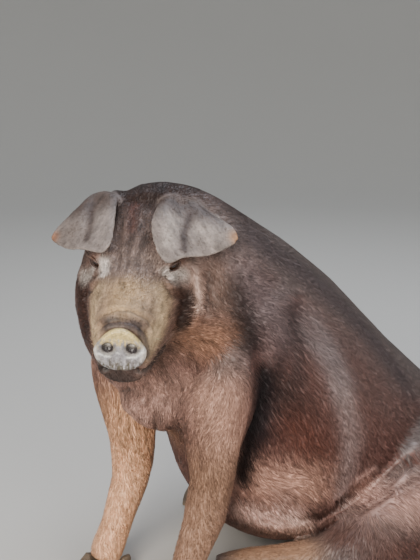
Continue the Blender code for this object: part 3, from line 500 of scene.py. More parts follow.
EAR_MARKS = {
    # The ears' roots: their own darker brown, with painted shade over the thick top edge.
    "left root": ([(45, 272, 140), (75, 270, 132), (108, 262, 122)], 36, "#3f322d", 0.95),
    "right root": ([(-45, 280, 138), (-75, 282, 130), (-105, 270, 118)], 36, "#3f322d", 0.92),
    "left lobe": ([(56, 225, 120), (56, 180, 98)], 13, "#a0968f", 0.75),
    "left blade": ([(100, 215, 112), (128, 215, 100)], 17, "#968c86", 0.70),
    "right lobe": ([(-55, 235, 112), (-56, 200, 100)], 12, "#8f8580", 0.70),
    # Painted shade in the fold down the middle of each ear, in this mark and the next.
    "left crease": ([(86, 247, 121), (79, 205, 105), (82, 178, 90)], 8, "#3a2e2a", 0.92),
    "right crease": ([(-84, 262, 121), (-80, 215, 105), (-81, 190, 95)], 7.5, "#3a2e2a", 0.92),
    "left tip": ([(168, 222, 95), (182, 222, 90)], 14, "#a87c56", 0.85),
    "right blade": ([(-105, 215, 100), (-140, 215, 86)], 26, "#675d58", 0.80),
    "right tip": ([(-146, 218, 82), (-158, 222, 78)], 13, "#98684a", 0.80),
}
RIM_HEX = "#b9ada6"
RIM_DEPTH = 0.012
STREAK_SAMPLES = 17
EVEN_SPREAD = 0.289


def ear_share(points, near=0.002, far=0.007):
    """One on the ear flaps, by how near each point lies to the solids of the ears."""
    share = np.zeros(len(points))
    for side in ("left", "right"):
        low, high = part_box("ear_" + side)
        close = np.all((points > np.array(low) - far) & (points < np.array(high) + far), axis=1)
        index = np.where(close)[0]
        away = np.array([ear_trees[side].find_nearest(Vector(points[i]))[3] for i in index])
        share[index] = np.maximum(share[index], 1 - step(away, near, far))
    return share


ear_trees = {side: surface_of(frame["nodes"]["ear_" + side].data) for side in ("left", "right")}


def rim_share(points, normals, flap, on_skin):
    """One along the rims of the ears, where the skin faces out of the flap's edge."""
    share = np.zeros(len(points))
    for i in np.where(flap > 0.6)[0]:
        into = Vector(-normals[i])
        hit = on_skin.ray_cast(Vector(points[i]) + into * 0.0008, into, 0.05)
        share[i] = 1.0 if hit[0] is None else min(1.0, max(0.0, (hit[3] - RIM_DEPTH) / RIM_DEPTH))
    return share


def hashed(cells):
    """A number from nought to one for each whole-number cell, the same each run."""
    mix = cells[:, 0] * 73856093 ^ cells[:, 1] * 19349663 ^ cells[:, 2] * 83492791
    mix = (mix ^ (mix >> 13)) * 1274126177 & 0x7FFFFFFF
    return (mix ^ (mix >> 16)) % 65536 / 65535


def streaks(points, lie, cell, reach):
    """Streaks along a lie, with a mean of nought: noise averaged along the way that it runs."""
    total = np.zeros(len(points))
    for away in np.linspace(-reach, reach, STREAK_SAMPLES):
        cells = np.floor((points + lie * away) / cell).astype(np.int64)
        total += hashed(cells) - 0.5
    return total / (EVEN_SPREAD * math.sqrt(STREAK_SAMPLES))


def plain(points, shade):
    """One colour for every point."""
    return np.array(linear(shade)) + 0 * points


def blend_to(colour, shade, share):
    share = np.clip(share, 0, 1)[:, None]
    return colour * (1 - share) + np.array(linear(shade)) * share


def marked(points, marks, colour, allowed):
    """A colour for each point with the marks laid over it in turn."""
    for path, reach, shade, strength, *both in marks.values():
        away = away_from(metres(path), points)
        if both:
            away = np.minimum(away, away_from(metres(mirrored(path)), points))
        colour = blend_to(colour, shade, strength * bell(away, reach / 1000, 2.6) * allowed)
    return colour


def coat_colour(points, normals, on_skin):
    """The marking at each point, in linear red, green and blue."""
    lift = normals[:, 2]
    colour = blend_to(plain(points, SIDE_HEX), BACK_WITH_SHEEN_HEX, step(lift, 0.0, 0.7))
    colour = blend_to(colour, UNDER_HEX, step(-lift, 0.10, 0.80))
    own = to_head(points)
    flap = ear_share(points)
    colour = marked(points, BODY_MARKS, colour, 1 - flap)
    colour = marked(own, HEAD_MARKS, colour, 1 - flap)
    # Painted shade and light from the folds' height: furrows are darkened and ridges lightened.
    shape = np.clip(folds_at(points, on_skin) / 0.004, -1.2, 1.0)
    colour = colour * np.where(shape < 0, 1 + 0.42 * shape, 1 + 0.22 * shape)[:, None]
    down_face = np.array((0.0, -0.94, -0.34))
    grime = streaks(own, down_face, 0.0062, 0.010) * 0.075
    grime = grime + streaks(own, down_face, 0.0026, 0.005) * 0.050
    colour = colour * (1 + grime * face_share(points))[:, None]
    leather = marked(own, EAR_MARKS, plain(points, EAR_HEX), 1.0)
    down_ear = np.sign(own) * (0.5, 0, 0) + (0, -0.8, -0.33)
    veins = streaks(own, down_ear, 0.0026, 0.012) * 0.07
    veins = veins + streaks(own, down_ear, 0.0090, 0.022) * 0.06
    leather = leather * (1 + veins)[:, None]
    colour = colour * (1 - flap[:, None]) + leather * flap[:, None]
    hanging = 1 - step(own[:, 2], 0.108, 0.120)
    return blend_to(colour, RIM_HEX, 0.55 * hanging * rim_share(points, normals, flap, on_skin))


def paint_points(mesh, colour):
    """Writes a colour to each vertex, as the attribute that the material reads."""
    made = mesh.color_attributes.new(name="marking", type="FLOAT_COLOR", domain="POINT")
    values = np.ones((len(mesh.vertices), 4), dtype=np.float32)
    values[:, :3] = colour
    made.data.foreach_set("color", values.ravel())


hide_points, hide_normals = points_of(hide.data), points_of(hide.data, "normal")
hide_faces = faces_of(hide.data)
hide_tree = BVHTree.FromPolygons(hide_points.tolist(), hide_faces.tolist())
hide_marking = coat_colour(hide_points, hide_normals, hide_tree)
hide_flap = ear_share(hide_points)
paint_points(hide.data, hide_marking)


def object_place(tree):
    return add_node(tree, "ShaderNodeTexCoord").outputs["Object"]


def marking_of(tree):
    """The colour that is painted on the mesh."""
    return add_node(tree, "ShaderNodeAttribute", {"attribute_name": "marking"}).outputs["Color"]


def noise_of(tree, place, scale, detail, rough=0.5):
    inputs = {"Vector": place, "Scale": scale, "Detail": detail, "Roughness": rough}
    return add_node(tree, "ShaderNodeTexNoise", None, inputs).outputs["Fac"]


def ranged(tree, value, low, high, to_low, to_high):
    inputs = {"Value": value, "From Min": low, "From Max": high, "To Min": to_low, "To Max": to_high}
    return add_node(tree, "ShaderNodeMapRange", None, inputs).outputs["Result"]


def shaded(tree, colour, share):
    """A colour made darker or lighter by a share."""
    inputs = {0: colour, "Scale": share}
    return add_node(tree, "ShaderNodeVectorMath", {"operation": "SCALE"}, inputs).outputs["Vector"]


def mixed(tree, share, one, other):
    """One colour going over into another as the share rises."""
    inputs = {"Factor": share, "A": one, "B": other}
    return add_node(tree, "ShaderNodeMix", {"data_type": "RGBA"}, inputs).outputs["Result"]


def bumped(tree, height, distance, strength, over=None):
    """The normal of a bump, laid over another normal where one is given."""
    inputs = {"Height": height, "Distance": distance, "Strength": strength}
    if over is not None:
        inputs["Normal"] = over
    return add_node(tree, "ShaderNodeBump", None, inputs).outputs["Normal"]


# Pig hide, a soft matt skin with a slight grease to it, which shows between the bristles and on the
# thinly haired ears. Its mottling is 16 mm across, its slack 14 mm and its grain 2.4 mm.
skin, tree, shader = new_material("pig hide")
place = object_place(tree)
mottle = ranged(tree, noise_of(tree, place, 62.0, 6.0, 0.62), 0.32, 0.68, 0.74, 1.16)
tree.links.new(shaded(tree, marking_of(tree), mottle), shader.inputs["Base Color"])
fine = bumped(tree, noise_of(tree, place, 420.0, 3.0), 0.0005, 0.6)
loose = bumped(tree, noise_of(tree, place, 70.0, 3.0), 0.0022, 0.5, over=fine)
tree.links.new(loose, shader.inputs["Normal"])
shader.inputs["Roughness"].default_value = 0.55
hide.data.materials.append(skin)
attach(hide, "root")
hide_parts(*FLESH)

# The coat: short coarse bristles that lie flat and run back from the snout, over the crown and along
# the spine, down the flanks and the legs. Each is a closed sliver with a low ridge along its back and
# its root sunk in the hide. They are drawn a little broader than single hairs so that they show.
COAT_PIECES = 7
SLIVERS_IN_A_PIECE = 33000
COAT_SEED = 11
BAKE_PATCH = 0.003
LIGHT_SHARE = 0.04
ROOT_DEPTH = 0.001
CLEAR_OF_HIDE = 0.0003
BEND_AT = 0.45
RIDGE_SHARE = 0.16
# Painted shade and light along each sliver, from its root to its tip.
ROOT_SHADE_TO_TIP_GLINT = (0.72, 0.98, 0.98, 1.0, 1.12)
BROAD_STREAK = (0.0075, 0.060)
FINE_STREAK = (0.0030, 0.027)
SNOUT_MIDDLE = (0, 0.02, 0)
BODY_LENGTH = 0.027
SHAGGY_LENGTH = 0.008
FACE_LENGTH = 0.0085
BODY_BREADTH = 0.00120
FACE_BREADTH = 0.00085
BODY_RISE = 0.0012
SHAGGY_RISE = 0.0014
FACE_RISE = 0.0006

# Each lie is a place, the way that the coat runs there and how far it reaches. Places and reaches
# are in millimetres.
LIES_ON_BODY = [
    ((0, -50, 550), (0, 0.78, -0.62), 450),
    ((0, 300, 250), (0, 0.7, -0.72), 250),
    ((0, -460, 400), (0, -0.05, -1), 110),
    ((170, -390, 420), (-0.5, -0.5, -0.7), 70),
    ((-170, -390, 420), (0.5, -0.5, -0.7), 70),
    ((130, -380, 260), (0, 0.1, -1), 100),
    ((120, -400, 100), (0, 0.05, -1), 120),
    ((-120, -380, 300), (0, 0.1, -1), 120),
    ((-100, -420, 100), (0, 0.05, -1), 120),
    ((200, -200, 360), (0.1, 0.3, -0.95), 100),
    ((-200, -200, 360), (-0.1, 0.3, -0.95), 100),
    ((210, -90, 280), (0, 0.1, -1), 80),
    ((-210, -90, 280), (0, 0.1, -1), 80),
    ((160, -230, 225), (0.6, 0.75, -0.22), 55),
    ((-160, -230, 225), (-0.6, 0.75, -0.22), 55),
    ((140, -220, 130), (0.45, 0.55, -0.7), 50),
    ((260, 20, 165), (0.5, 0.2, -0.85), 80),
    ((-260, 20, 165), (-0.5, 0.2, -0.85), 80),
    ((300, 100, 90), (0.05, 0.1, -1), 100),
    ((-300, 100, 90), (-0.05, 0.1, -1), 100),
    ((240, -120, 90), (0.1, -0.45, -0.88), 60),
    ((-240, -40, 90), (-0.05, -0.45, -0.88), 60),
    ((140, -250, 40), (-0.59, -0.8, 0), 90),
    ((-210, -60, 40), (0.32, -0.94, 0), 80),
    ((0, 520, 80), (0, 0.5, -0.85), 60),
    ((70, 600, 10), (0.95, 0.2, 0), 50),
]
LIES_ON_HEAD = [
    ((0, 60, 50), (0, 1, 0.25), 50),
    ((0, 160, 90), (0, 0.9, 0.5), 60),
    ((0, 280, 140), (0, 1, -0.05), 70),
    ((70, 100, -10), (0.25, 0.95, -0.05), 50),
    ((-70, 100, -10), (-0.25, 0.95, -0.15), 60),
    ((100, 150, -40), (0.45, 0.85, 0.1), 35),
    ((130, 200, 20), (0.1, 0.3, -0.95), 35),
    ((120, 170, -100), (0.1, 0.75, -0.62), 60),
    ((-120, 170, -60), (-0.2, 0.75, -0.62), 70),
    ((0, 80, -90), (0, 1, -0.2), 70),
    ((0, 200, -130), (0, 0.9, -0.4), 80),
]
LIES_ON_EARS = [
    ((90, 235, 110), (0.55, -0.8, -0.3), 60),
    ((150, 230, 100), (0.9, -0.3, -0.2), 40),
    ((-85, 235, 110), (-0.55, -0.8, -0.3), 60),
    ((-130, 230, 100), (-0.9, -0.3, -0.2), 40),
]


def dots(a, b):
    return np.einsum("ij,ij->i", a, b)


def units(rows):
    """Each row with a length of one."""
    return rows / np.maximum(np.linalg.norm(rows, axis=1), 1e-9)[:, None]


def turned_about(normals, rows, angle):
    """Each row turned about its normal, to which it is square."""
    return rows * np.cos(angle)[:, None] + np.cross(normals, rows) * np.sin(angle)[:, None]


def on_one_side(points):
    """The points with those of the right side mirrored to the left."""
    return np.abs(points) * (1, 0, 0) + points * (0, 1, 1)


def share_round(points, middle, reach):
    """A soft share for each point, one at the middle of a ball and falling away past its reach."""
    away = (points - metres(middle)) / (reach / 1000)
    return np.exp(-dots(away, away))


def shaggy_share(points):
    """One where the coat is long and wavy: the jowls, chest, belly and thighs."""
    own, sides = to_head(points), on_one_side(points)
    jowls = share_round(own, (110, 170, -70), 70) + share_round(own, (-110, 170, -70), 70)
    chest = share_round(points, (0, -420, 400), 150)
    belly = share_round(sides, (150, -230, 200), 100)
    thighs = share_round(sides, (270, 20, 140), 120)
    return np.clip(jowls + chest + belly + thighs, 0, 1)


def lie_of(points, normals, flap):
    """The way the coat lies at each point, along the hide, with a slow sway to it."""
    own = to_head(points)
    total = np.tile((0.0, 0.02, -0.015), (len(points), 1))
    to_room = np.array(HEAD.to_3x3()).T
    for places, guides, allowed, spin in (
        (points, LIES_ON_BODY, 1 - flap, np.eye(3)),
        (own, LIES_ON_HEAD, 1.5 * (1 - flap), to_room),
        (own, LIES_ON_EARS, 6 * flap, to_room),
    ):
        for middle, direction, reach in guides:
            share = share_round(places, middle, reach) * allowed
            unit = np.array(direction) / np.linalg.norm(direction)
            total += share[:, None] * (unit @ spin)
    along = units(total - normals * dots(total, normals)[:, None])
    x, y, z = points.T
    sway = np.sin(61 * x + 34 * z + 2.1 * np.sin(19 * y)) + np.sin(52 * y - 43 * z + 1.8 * np.sin(23 * x))
    sway = 0.16 * sway * (0.30 + 0.70 * shaggy_share(points)) * (1 - 0.6 * face_share(points))
    return turned_about(normals, along, sway)


# An unwrap of the hide's own shape, on a light copy, tells each sliver where its root lies in the
# texture that the coat is baked to.
light = hide.copy()
light.data = hide.data.copy()
light.parent = None
bpy.context.scene.collection.objects.link(light)
bpy.ops.object.select_all(action="DESELECT")
light.select_set(True)
bpy.context.view_layer.objects.active = light
apply_modifier(light, "DECIMATE", ratio=LIGHT_SHARE)
bpy.ops.object.mode_set(mode="EDIT")
bpy.ops.mesh.select_all(action="SELECT")
bpy.ops.mesh.quads_convert_to_tris()
bpy.ops.uv.smart_project(angle_limit=math.radians(66), island_margin=0.003)
bpy.ops.object.mode_set(mode="OBJECT")
light_points = points_of(light.data)
light_faces = faces_of(light.data)
light_uv = np.empty(len(light.data.loops) * 2)
light.data.uv_layers.active.data.foreach_get("uv", light_uv)
light_uv = light_uv.reshape(-1, 3, 2)
light_tree = BVHTree.FromPolygons(light_points.tolist(), light_faces.tolist())
bpy.data.objects.remove(light, do_unlink=True)


def blend_corners(shares, values):
    """What each point has, from its shares of the corners of its face."""
    return np.einsum("ij,ijk->ik", shares, values)


def places_on_unwrap(points):
    """Where each point of the hide lies on its unwrap."""
    found = [light_tree.find_nearest(Vector(p)) for p in points]
    face = np.array([hit[2] for hit in found])
    spot = np.array([hit[0] for hit in found])
    a, b, c = (light_points[light_faces[face, k]] for k in range(3))
    across, up, over = b - a, c - a, spot - a
    d00, d01, d11 = dots(across, across), dots(across, up), dots(up, up)
    d20, d21 = dots(over, across), dots(over, up)
    whole = np.maximum(d00 * d11 - d01 * d01, 1e-18)
    v = (d11 * d20 - d01 * d21) / whole
    w = (d00 * d21 - d01 * d20) / whole
    return blend_corners(np.stack([1 - v - w, v, w], axis=1), light_uv[face])


# Bristle, a coarse hair of horn with a dull sheen. Its tone is painted on it: darker at the root as
# painted shade, and paler towards the tip as a painted glint.
bristle, tree, shader = new_material("bristle")
tree.links.new(marking_of(tree), shader.inputs["Base Color"])
shader.inputs["Roughness"].default_value = 0.52
shader.inputs["Specular IOR Level"].default_value = 0.24

corners = hide_points[hide_faces]
crossed = np.cross(corners[:, 1] - corners[:, 0], corners[:, 2] - corners[:, 0])
hide_areas = np.linalg.norm(crossed, axis=1) / 2
face_middles = corners.mean(axis=1)


def roots_on_hide(draw, count, share):
    """Places drawn over the hide, more of them where the share of a face is greater."""
    chance = hide_areas * share
    chosen = draw.choice(len(chance), count, p=chance / chance.sum())
    a, b = draw.random((2, count))
    over = a + b > 1
    a[over], b[over] = 1 - a[over], 1 - b[over]
    mix = np.stack([1 - a - b, a, b], axis=1)
    normal = units(blend_corners(mix, hide_normals[hide_faces[chosen]]))
    tone = blend_corners(mix, hide_marking[hide_faces[chosen]])
    return blend_corners(mix, corners[chosen]), normal, tone, dots(mix, hide_flap[hide_faces[chosen]])


def slivers(name, root, normal, lie, size, broad, raised, tone):
    """A piece of closed slivers, each bent along the hide from its root to its tip."""
    count = len(root)

    def laid(along, above):
        target = root + lie * (size * along)[:, None]
        hits = [hide_tree.find_nearest(Vector(p)) for p in target]
        spot = np.array([hit[0] for hit in hits])
        up = np.array([hit[1] for hit in hits])
        return spot + up * above[:, None], up

    middle, up = laid(BEND_AT, 0.6 * raised + CLEAR_OF_HIDE)
    tip, _ = laid(1.0, raised + CLEAR_OF_HIDE)
    half = units(np.cross(lie, up)) * (broad / 2)[:, None]
    ridge = middle + up * (broad * RIDGE_SHARE)[:, None]
    verts = np.stack([root - normal * ROOT_DEPTH, middle + half, middle - half, ridge, tip], axis=1)
    faces = np.array([(0, 1, 2), (0, 2, 3), (0, 3, 1), (4, 2, 1), (4, 3, 2), (4, 1, 3)])
    faces = faces[None] + 5 * np.arange(count)[:, None, None]
    mesh = bpy.data.meshes.new(name)
    mesh.vertices.add(5 * count)
    mesh.vertices.foreach_set("co", verts.ravel())
    mesh.loops.add(18 * count)
    mesh.loops.foreach_set("vertex_index", faces.ravel().astype(np.int32))
    mesh.polygons.add(6 * count)
    mesh.polygons.foreach_set("loop_start", np.arange(0, 18 * count, 3, dtype=np.int32))
    mesh.update(calc_edges=True)
    paint_points(mesh, (tone[:, None, :] * np.array(ROOT_SHADE_TO_TIP_GLINT)[None, :, None]).reshape(-1, 3))
    offsets = np.array([(0, -0.5), (-0.5, 0), (0.5, 0), (0, 0.1), (0, 0.5)]) * BAKE_PATCH
    per_vertex = (places_on_unwrap(root)[:, None, :] + offsets[None]).reshape(-1, 2)
    layer = mesh.uv_layers.new(name="OFBake")
    layer.data.foreach_set("uv", per_vertex[faces.ravel()].astype(np.float32).ravel())
    mesh.materials.append(bristle)
    made = bpy.data.objects.new(name, mesh)
    bpy.context.scene.collection.objects.link(made)
    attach(made, "root")


draw = np.random.default_rng(COAT_SEED)
flap_of_faces = hide_flap[hide_faces].mean(axis=1)
near_snout = 1 - step(np.linalg.norm(to_head(face_middles) - SNOUT_MIDDLE, axis=1), 0.045, 0.085)
share = (1 + 1.6 * face_share(face_middles)) * (1 - 0.55 * flap_of_faces) * (1 - 0.55 * near_snout)
root, normal, tone, flap = roots_on_hide(draw, COAT_PIECES * SLIVERS_IN_A_PIECE, share)
count = len(root)
faceness, limbness, shaggy = face_share(root), limb_share(root), shaggy_share(root)
lie = lie_of(root, normal, flap)
broad_streak, fine_streak = streaks(root, lie, *BROAD_STREAK), streaks(root, lie, *FINE_STREAK)
stray = draw.normal(0, 1, count) * (0.06 + 0.06 * shaggy + 0.06 * faceness)
lie = turned_about(normal, lie, stray)
size = BODY_LENGTH + SHAGGY_LENGTH * shaggy
by_snout = 1 - step(np.linalg.norm(to_head(root) - SNOUT_MIDDLE, axis=1), 0.060, 0.150)
size = size * (1 - faceness) + (FACE_LENGTH + 0.010 * shaggy) * faceness * (1 - 0.6 * by_snout)
size = size * (1 - 0.45 * limbness) * (1 - 0.45 * flap) * draw.uniform(0.7, 1.25, count)
broad = (BODY_BREADTH + 0.00015 * shaggy) * (1 - faceness) + FACE_BREADTH * faceness
broad = broad * (1 - 0.35 * flap) * draw.uniform(0.7, 1.3, count)
relief = np.clip(1 + (0.30 * fine_streak + 0.20 * broad_streak) * (0.55 + 0.45 * shaggy), 0.3, 2.0)
relief = relief * (1 - 0.5 * by_snout)
raised = BODY_RISE * (1 - faceness) + FACE_RISE * faceness + SHAGGY_RISE * shaggy
raised = raised * (1 - 0.7 * flap) * relief
depth = 0.085 + 0.20 * shaggy + 0.05 * faceness
shading = 1 + depth * (0.75 * fine_streak + 0.65 * broad_streak) + draw.normal(0, 0.08, count)
tone = tone * np.clip(shading * (1 - 0.6 * flap) + 0.6 * flap, 0.45, 1.8)[:, None]
order = np.argsort(root[:, 1], kind="stable")
for k, part in enumerate(np.array_split(order, COAT_PIECES)):
    chosen = (values[part] for values in (root, normal, lie, size, broad, raised, tone))
    slivers(f"coat_{k + 1}", *chosen)

# Whiskers: stiff single bristles, longer than the coat, that stand off the chin, lips and brow. Each
# is a thin sliver like those of the coat, with its root in the hide.
WHISKERS = 300
WHISKER_SEED = 23
WHISKER_BREADTH = 0.0005
WHISKER_LENGTHS = (0.012, 0.024)

# Each is a line in the head's frame and its reach, in millimetres, and its share of the whiskers.
WHISKER_LINES = [
    ([(-30, 30, -50), (0, 40, -70), (30, 30, -50)], 30, 1.0),
    ([(45, 30, -20), (60, 100, -30)], 20, 0.25),
    ([(45, 175, 75), (70, 195, 78)], 12, 0.5),
]
draw = np.random.default_rng(WHISKER_SEED)
own = on_one_side(to_head(face_middles))
share = sum(s * bell(away_from(metres(line), own), reach / 1000) for line, reach, s in WHISKER_LINES)
root, normal, tone, flap = roots_on_hide(draw, WHISKERS, share + 1e-6)
lie = units(lie_of(root, normal, flap) * 0.8 + normal * 0.35 + draw.normal(0, 0.12, (WHISKERS, 3)))
size = draw.uniform(*WHISKER_LENGTHS, WHISKERS)
broad, tone = np.full(WHISKERS, WHISKER_BREADTH), np.clip(tone * 1.3 + 0.03, 0, 0.6)
slivers("whiskers", root, normal, lie, size, broad, size * 0.30, tone)

# The snout disc: bare damp skin over a plate of gristle, with a raised rim and two nostrils. Its top
# is stained ochre, its dished middle is a wet bluish grey and the nostrils are dark with painted shade,
# with painted highlights of wet on the disc and in the nostrils.
NOSTRIL_APART = 0.0365
NOSTRIL_RADIUS = 0.0090
SNOUT_VOXEL = 0.0011
RING_HEIGHT = 0.0011
GROOVE_DEPTH = 0.0009
DISC_HALF_WIDTH = 0.0405
DISC_UP = 0.033
DISC_DOWN = 0.0404
UPRIGHT = np.array((0.0, 0.0, 1.0))
snout = copy_of(["snout_disc"], "snout")
apply_modifier(snout, "REMESH", mode="VOXEL", voxel_size=SNOUT_VOXEL)
apply_modifier(snout, "SMOOTH", iterations=5)
points, normals = points_of(snout.data), points_of(snout.data, "normal")
own = to_head(points)
across, behind, up = own.T
beside = np.abs(across) - NOSTRIL_APART / 2
from_nostril = np.hypot(beside, (up - 0.001) / 1.12)
in_front = 1 - step(behind, 0.004, 0.009)
ring = bell(from_nostril - 1.16 * NOSTRIL_RADIUS, 0.0022) * in_front
groove = bell(across, 0.0028) * step(-up, -0.004, 0.008) * in_front
put_points(snout.data, points + normals * (RING_HEIGHT * ring - GROOVE_DEPTH * groove)[:, None])

GRISTLE_HEX = "#98969a"
NOSTRIL_HALO_SHADE_HEX = "#58555b"
OCHRE_HEX = "#d6bd78"
PALE_RIM_AND_GLINT_HEX = "#ddd6cb"
NOSTRIL_SHADE_HEX = "#1c1417"
LIP_HEX = "#4d3f3a"
DIRT_HEX = "#4b4436"
GLINT_HEX = "#f4f5f2"

# Each glint is its line and its half width, in millimetres, and its strength.
GLINTS = [
    ([(35, 0, -1), (25, 0, -12)], 2.6, 0.95),
    ([(21, 0, -13), (12, 0, -15)], 2.4, 0.85),
    ([(-32, 0, -9), (-26, 0, -12)], 1.8, 0.75),
    ([(-22, 0, -14), (-15, 0, -15)], 2, 0.80),
    ([(-7, 0, -6), (-3, 0, -8)], 1.6, 0.60),
]

colour = plain(points, GRISTLE_HEX)
# Painted shade in a soft halo round each nostril.
colour = blend_to(colour, NOSTRIL_HALO_SHADE_HEX, 0.8 * bell(from_nostril, 1.45 * NOSTRIL_RADIUS, 4))
ragged = streaks(own, UPRIGHT, 0.0024, 0.004)
stain = up + 0.0022 * ragged
colour = blend_to(colour, OCHRE_HEX, 0.92 * step(stain, -0.001, 0.021))
edge = np.hypot(across / DISC_HALF_WIDTH, np.where(up > 0, up / DISC_UP, up / DISC_DOWN))
sides_only = (1 - step(up, 0.000, 0.012)) * (1 - step(-up, 0.012, 0.026))
colour = blend_to(colour, PALE_RIM_AND_GLINT_HEX, 0.60 * step(edge, 0.76, 0.92) * sides_only)
colour = blend_to(colour, LIP_HEX, 0.9 * step(behind, 0.0065, 0.0105))
grime = np.clip(streaks(own, UPRIGHT, 0.0042, 0.006), 0, 2)
colour = blend_to(colour, LIP_HEX, 0.34 * grime * step(-up, 0.004, 0.030))
colour = blend_to(colour, DIRT_HEX, (0.72 + 0.22 * ragged) * step(-up, 0.013, 0.037))
flat = own * (1, 0, 1)
for line, wide, strength in GLINTS:
    share = strength * bell(away_from(metres(line), flat), wide / 1000)
    colour = blend_to(colour, GLINT_HEX, share)
# Painted shade in the nostrils, near black inside their openings.
dark = bell(np.hypot(beside / 1.24, (up + 0.0012) / 1.08), 1.12 * NOSTRIL_RADIUS, 4)
colour = blend_to(colour, NOSTRIL_SHADE_HEX, dark)
lower_ring = step(-up, -0.004, 0.004)
colour = blend_to(colour, PALE_RIM_AND_GLINT_HEX, 0.7 * ring * (1 - dark) * lower_ring)
# Painted highlight on the wet fold inside each nostril.
inner_fold_glint = bell(np.hypot(beside / 1.35, up - 0.0035), 0.0034)
colour = blend_to(colour, PALE_RIM_AND_GLINT_HEX, 0.95 * inner_fold_glint)
paint_points(snout.data, colour)

# Damp snout skin is bare, and gleams under a thin film of water. Its pebbles are 2.6 mm across and its
# mottling 6 mm.
wet, tree, shader = new_material("damp snout skin")
place = object_place(tree)
mottle = ranged(tree, noise_of(tree, place, 170.0, 5.0, 0.7), 0.3, 0.7, 0.55, 1.45)
tree.links.new(shaded(tree, marking_of(tree), mottle), shader.inputs["Base Color"])
pebble = add_node(tree, "ShaderNodeTexVoronoi", None, {"Vector": place, "Scale": 380.0})
tree.links.new(bumped(tree, pebble.outputs["Distance"], 0.0012, 0.8), shader.inputs["Normal"])
shader.inputs["Roughness"].default_value = 0.30
shader.inputs["Coat Weight"].default_value = 0.55
shader.inputs["Coat Roughness"].default_value = 0.18
snout.data.materials.append(wet)
snout.data.shade_smooth()
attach(snout, "root")
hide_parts("snout_disc")

# The eyes: small, deep set and dark brown, each a wet ball with a clear bulge over its iris, held
# between two thick lids whose margins are dark and bare, with pale lashes along the upper one.
EYE_RADIUS = 0.0125
EYE_ASIDE = 0.0600
LID_RADIUS = 0.0168
LID_THICK = 0.0014
UPPER_LID_MORE = 0.0008
TUBE = 0.1
EYE_OUTWARD = 24.0
SLIT_TILT = 24.0
SLIT_RADII = (0.0134, 0.0060)
PUPIL_HEX = "#070404"
IRIS_HEX = "#3d2417"
WHITE_HEX = "#6b5a50"
LID_HEX = "#2c1d19"
PALE_LID_HEX = "#574039"
LASH_HEX = "#a58a78"
LASHES = 15
LASH_LENGTH = 0.009
LASH_RADIUS = 0.00032
LASH_SEED = 31

# A wet eye is smooth, with a sharp gleam. Bare lid skin is dark and satiny, with a grain of 1.7 mm.
glass, tree, shader = new_material("wet eye")
tree.links.new(marking_of(tree), shader.inputs["Base Color"])
shader.inputs["Roughness"].default_value = 0.08
shader.inputs["Coat Weight"].default_value = 0.5
margin, tree, shader = new_material("bare lid skin")
grain = noise_of(tree, object_place(tree), 600.0, 3.0)
lid_tone = mixed(tree, grain, solid(LID_HEX), solid(PALE_LID_HEX))
tree.links.new(lid_tone, shader.inputs["Base Color"])
tree.links.new(bumped(tree, grain, 0.0003, 0.6), shader.inputs["Normal"])
shader.inputs["Roughness"].default_value = 0.40


def ahead_on_lids(across, upward):
    """How far forward the lids lie, below zero, at a place across and up from the eye's middle."""
    return -np.sqrt(LID_RADIUS**2 - across**2 - upward**2)


def settle(piece, place):
    """Moves a piece into place in its mesh, so that its object stays at the origin."""
    piece.data.transform(place @ piece.matrix_basis)
    piece.matrix_basis = Matrix.Identity(4)


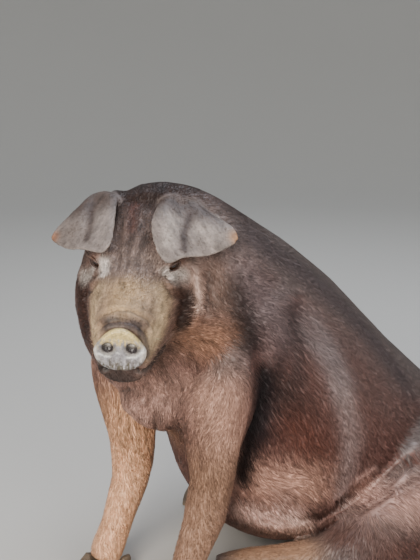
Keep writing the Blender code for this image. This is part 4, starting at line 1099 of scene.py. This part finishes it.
for side, sign in (("left", 1.0), ("right", -1.0)):
    gaze = HEAD @ Matrix.Translation((sign * EYE_ASIDE, EYE_BACK, EYE_UP))
    gaze = gaze @ Matrix.Rotation(math.radians(sign * EYE_OUTWARD), 4, "Z")
    gaze = gaze @ Matrix.Rotation(math.radians(-sign * SLIT_TILT), 4, "Y")

    bpy.ops.mesh.primitive_uv_sphere_add(segments=48, ring_count=32, radius=EYE_RADIUS, location=(0, 0, 0))
    ball = bpy.context.object
    ball.name = "eyeball_" + side
    bpy.ops.object.shade_smooth()
    points = points_of(ball.data)
    forward = -points[:, 1] / EYE_RADIUS
    from_axis = np.degrees(np.arccos(np.clip(forward, -1, 1)))
    bulge = bell(from_axis, 34, 4)
    colour = blend_to(plain(points, WHITE_HEX), IRIS_HEX, 1 - step(from_axis, 36, 42))
    from_pupil = np.hypot(points[:, 0] / 1.35, points[:, 2]) / EYE_RADIUS
    colour = blend_to(colour, PUPIL_HEX, 1 - step(from_pupil, 0.24, 0.30))
    put_points(ball.data, points * (1 + 0.035 * bulge)[:, None])
    paint_points(ball.data, colour)
    ball.data.materials.append(glass)
    settle(ball, gaze)
    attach(ball, "root")
    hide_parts("eye_" + side)

    bpy.ops.mesh.primitive_torus_add(
        major_segments=56, minor_segments=12, major_radius=1.0, minor_radius=TUBE
    )
    rim = bpy.context.object
    rim.name = "lids_" + side
    bpy.ops.object.shade_smooth()
    points = points_of(rim.data)
    round_slit = np.arctan2(points[:, 1], points[:, 0])
    tube = np.stack([np.hypot(points[:, 0], points[:, 1]) - 1, points[:, 2]], axis=1) / TUBE
    thick = LID_THICK + UPPER_LID_MORE * np.clip(np.sin(round_slit), 0, 1)
    across = (SLIT_RADII[0] + tube[:, 0] * thick) * np.cos(round_slit)
    upward = (SLIT_RADII[1] + tube[:, 0] * thick) * np.sin(round_slit) - 0.001
    ahead = ahead_on_lids(across, upward) - tube[:, 1] * thick + 0.0008
    put_points(rim.data, np.stack([across, ahead, upward], axis=1))
    bpy.ops.object.mode_set(mode="EDIT")
    bpy.ops.mesh.select_all(action="SELECT")
    bpy.ops.mesh.normals_make_consistent(inside=False)
    bpy.ops.object.mode_set(mode="OBJECT")
    rim.data.materials.append(margin)
    settle(rim, gaze)
    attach(rim, "root")

    along = np.linspace(0.16, 0.84, LASHES) * math.pi
    draw = np.random.default_rng(LASH_SEED)
    across, upward = SLIT_RADII[0] * np.cos(along), (SLIT_RADII[1] + 0.0012) * np.sin(along)
    starts = np.stack([across, ahead_on_lids(across, upward) - 0.001, upward], axis=1)
    fan = np.stack([0.8 * np.cos(along), -1.0 + 0 * along, 0.10 + 0.25 * np.sin(along)], axis=1)
    fan = units(fan + draw.normal(0, 0.10, fan.shape))
    for start, way in zip(starts, fan):
        turned = Vector(way).to_track_quat("Z", "Y").to_euler()
        spot = Vector(start) + Vector(way) * 0.0035
        bpy.ops.mesh.primitive_cone_add(
            vertices=5, radius1=LASH_RADIUS, radius2=0.0, depth=LASH_LENGTH, location=spot, rotation=turned
        )
        bpy.context.object.name = "lash"
    for lash in [thing for thing in bpy.data.objects if thing.name.startswith("lash")]:
        lash.select_set(True)
    bpy.ops.object.join()
    lashes = bpy.context.object
    lashes.name = "fringe_" + side
    bpy.ops.object.transform_apply(location=True, rotation=True, scale=True)
    paint_points(lashes.data, linear(LASH_HEX))
    lashes.data.materials.append(bristle)
    settle(lashes, gaze)
    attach(lashes, "root")

# The hooves and dewclaws: grey-brown horn that grows down from the skin, so it has fine rings round
# it 3.2 mm apart, a paler worn edge at the ground and patches of dull grime 18 mm across.
RING_APART = 0.0032
GRIME_HEX = "#3a3029"
HORN_HEX = "#7a6a58"
WORN_HEX = "#9b8a72"
horn, tree, shader = new_material("hoof horn")
place = object_place(tree)
height = add_node(tree, "ShaderNodeSeparateXYZ", None, {"Vector": place}).outputs["Z"]
grimy = noise_of(tree, place, 55.0, 4.0)
grimy = mixed(tree, grimy, solid(GRIME_HEX), solid(HORN_HEX))
worn = mixed(tree, ranged(tree, height, 0.012, 0.0, 0.0, 0.65), grimy, solid(WORN_HEX))
tree.links.new(worn, shader.inputs["Base Color"])
waves = {"Vector": place, "Scale": 0.314 / RING_APART, "Distortion": 2.5, "Detail": 3.0}
rings = add_node(tree, "ShaderNodeTexWave", {"wave_type": "BANDS", "bands_direction": "Z"}, waves)
tree.links.new(bumped(tree, rings.outputs["Fac"], 0.0006, 0.7), shader.inputs["Normal"])
shader.inputs["Roughness"].default_value = 0.52
for name, node in frame["nodes"].items():
    if "claw" in name or name.startswith("hoof"):
        node.data.materials.clear()
        node.data.materials.append(horn)
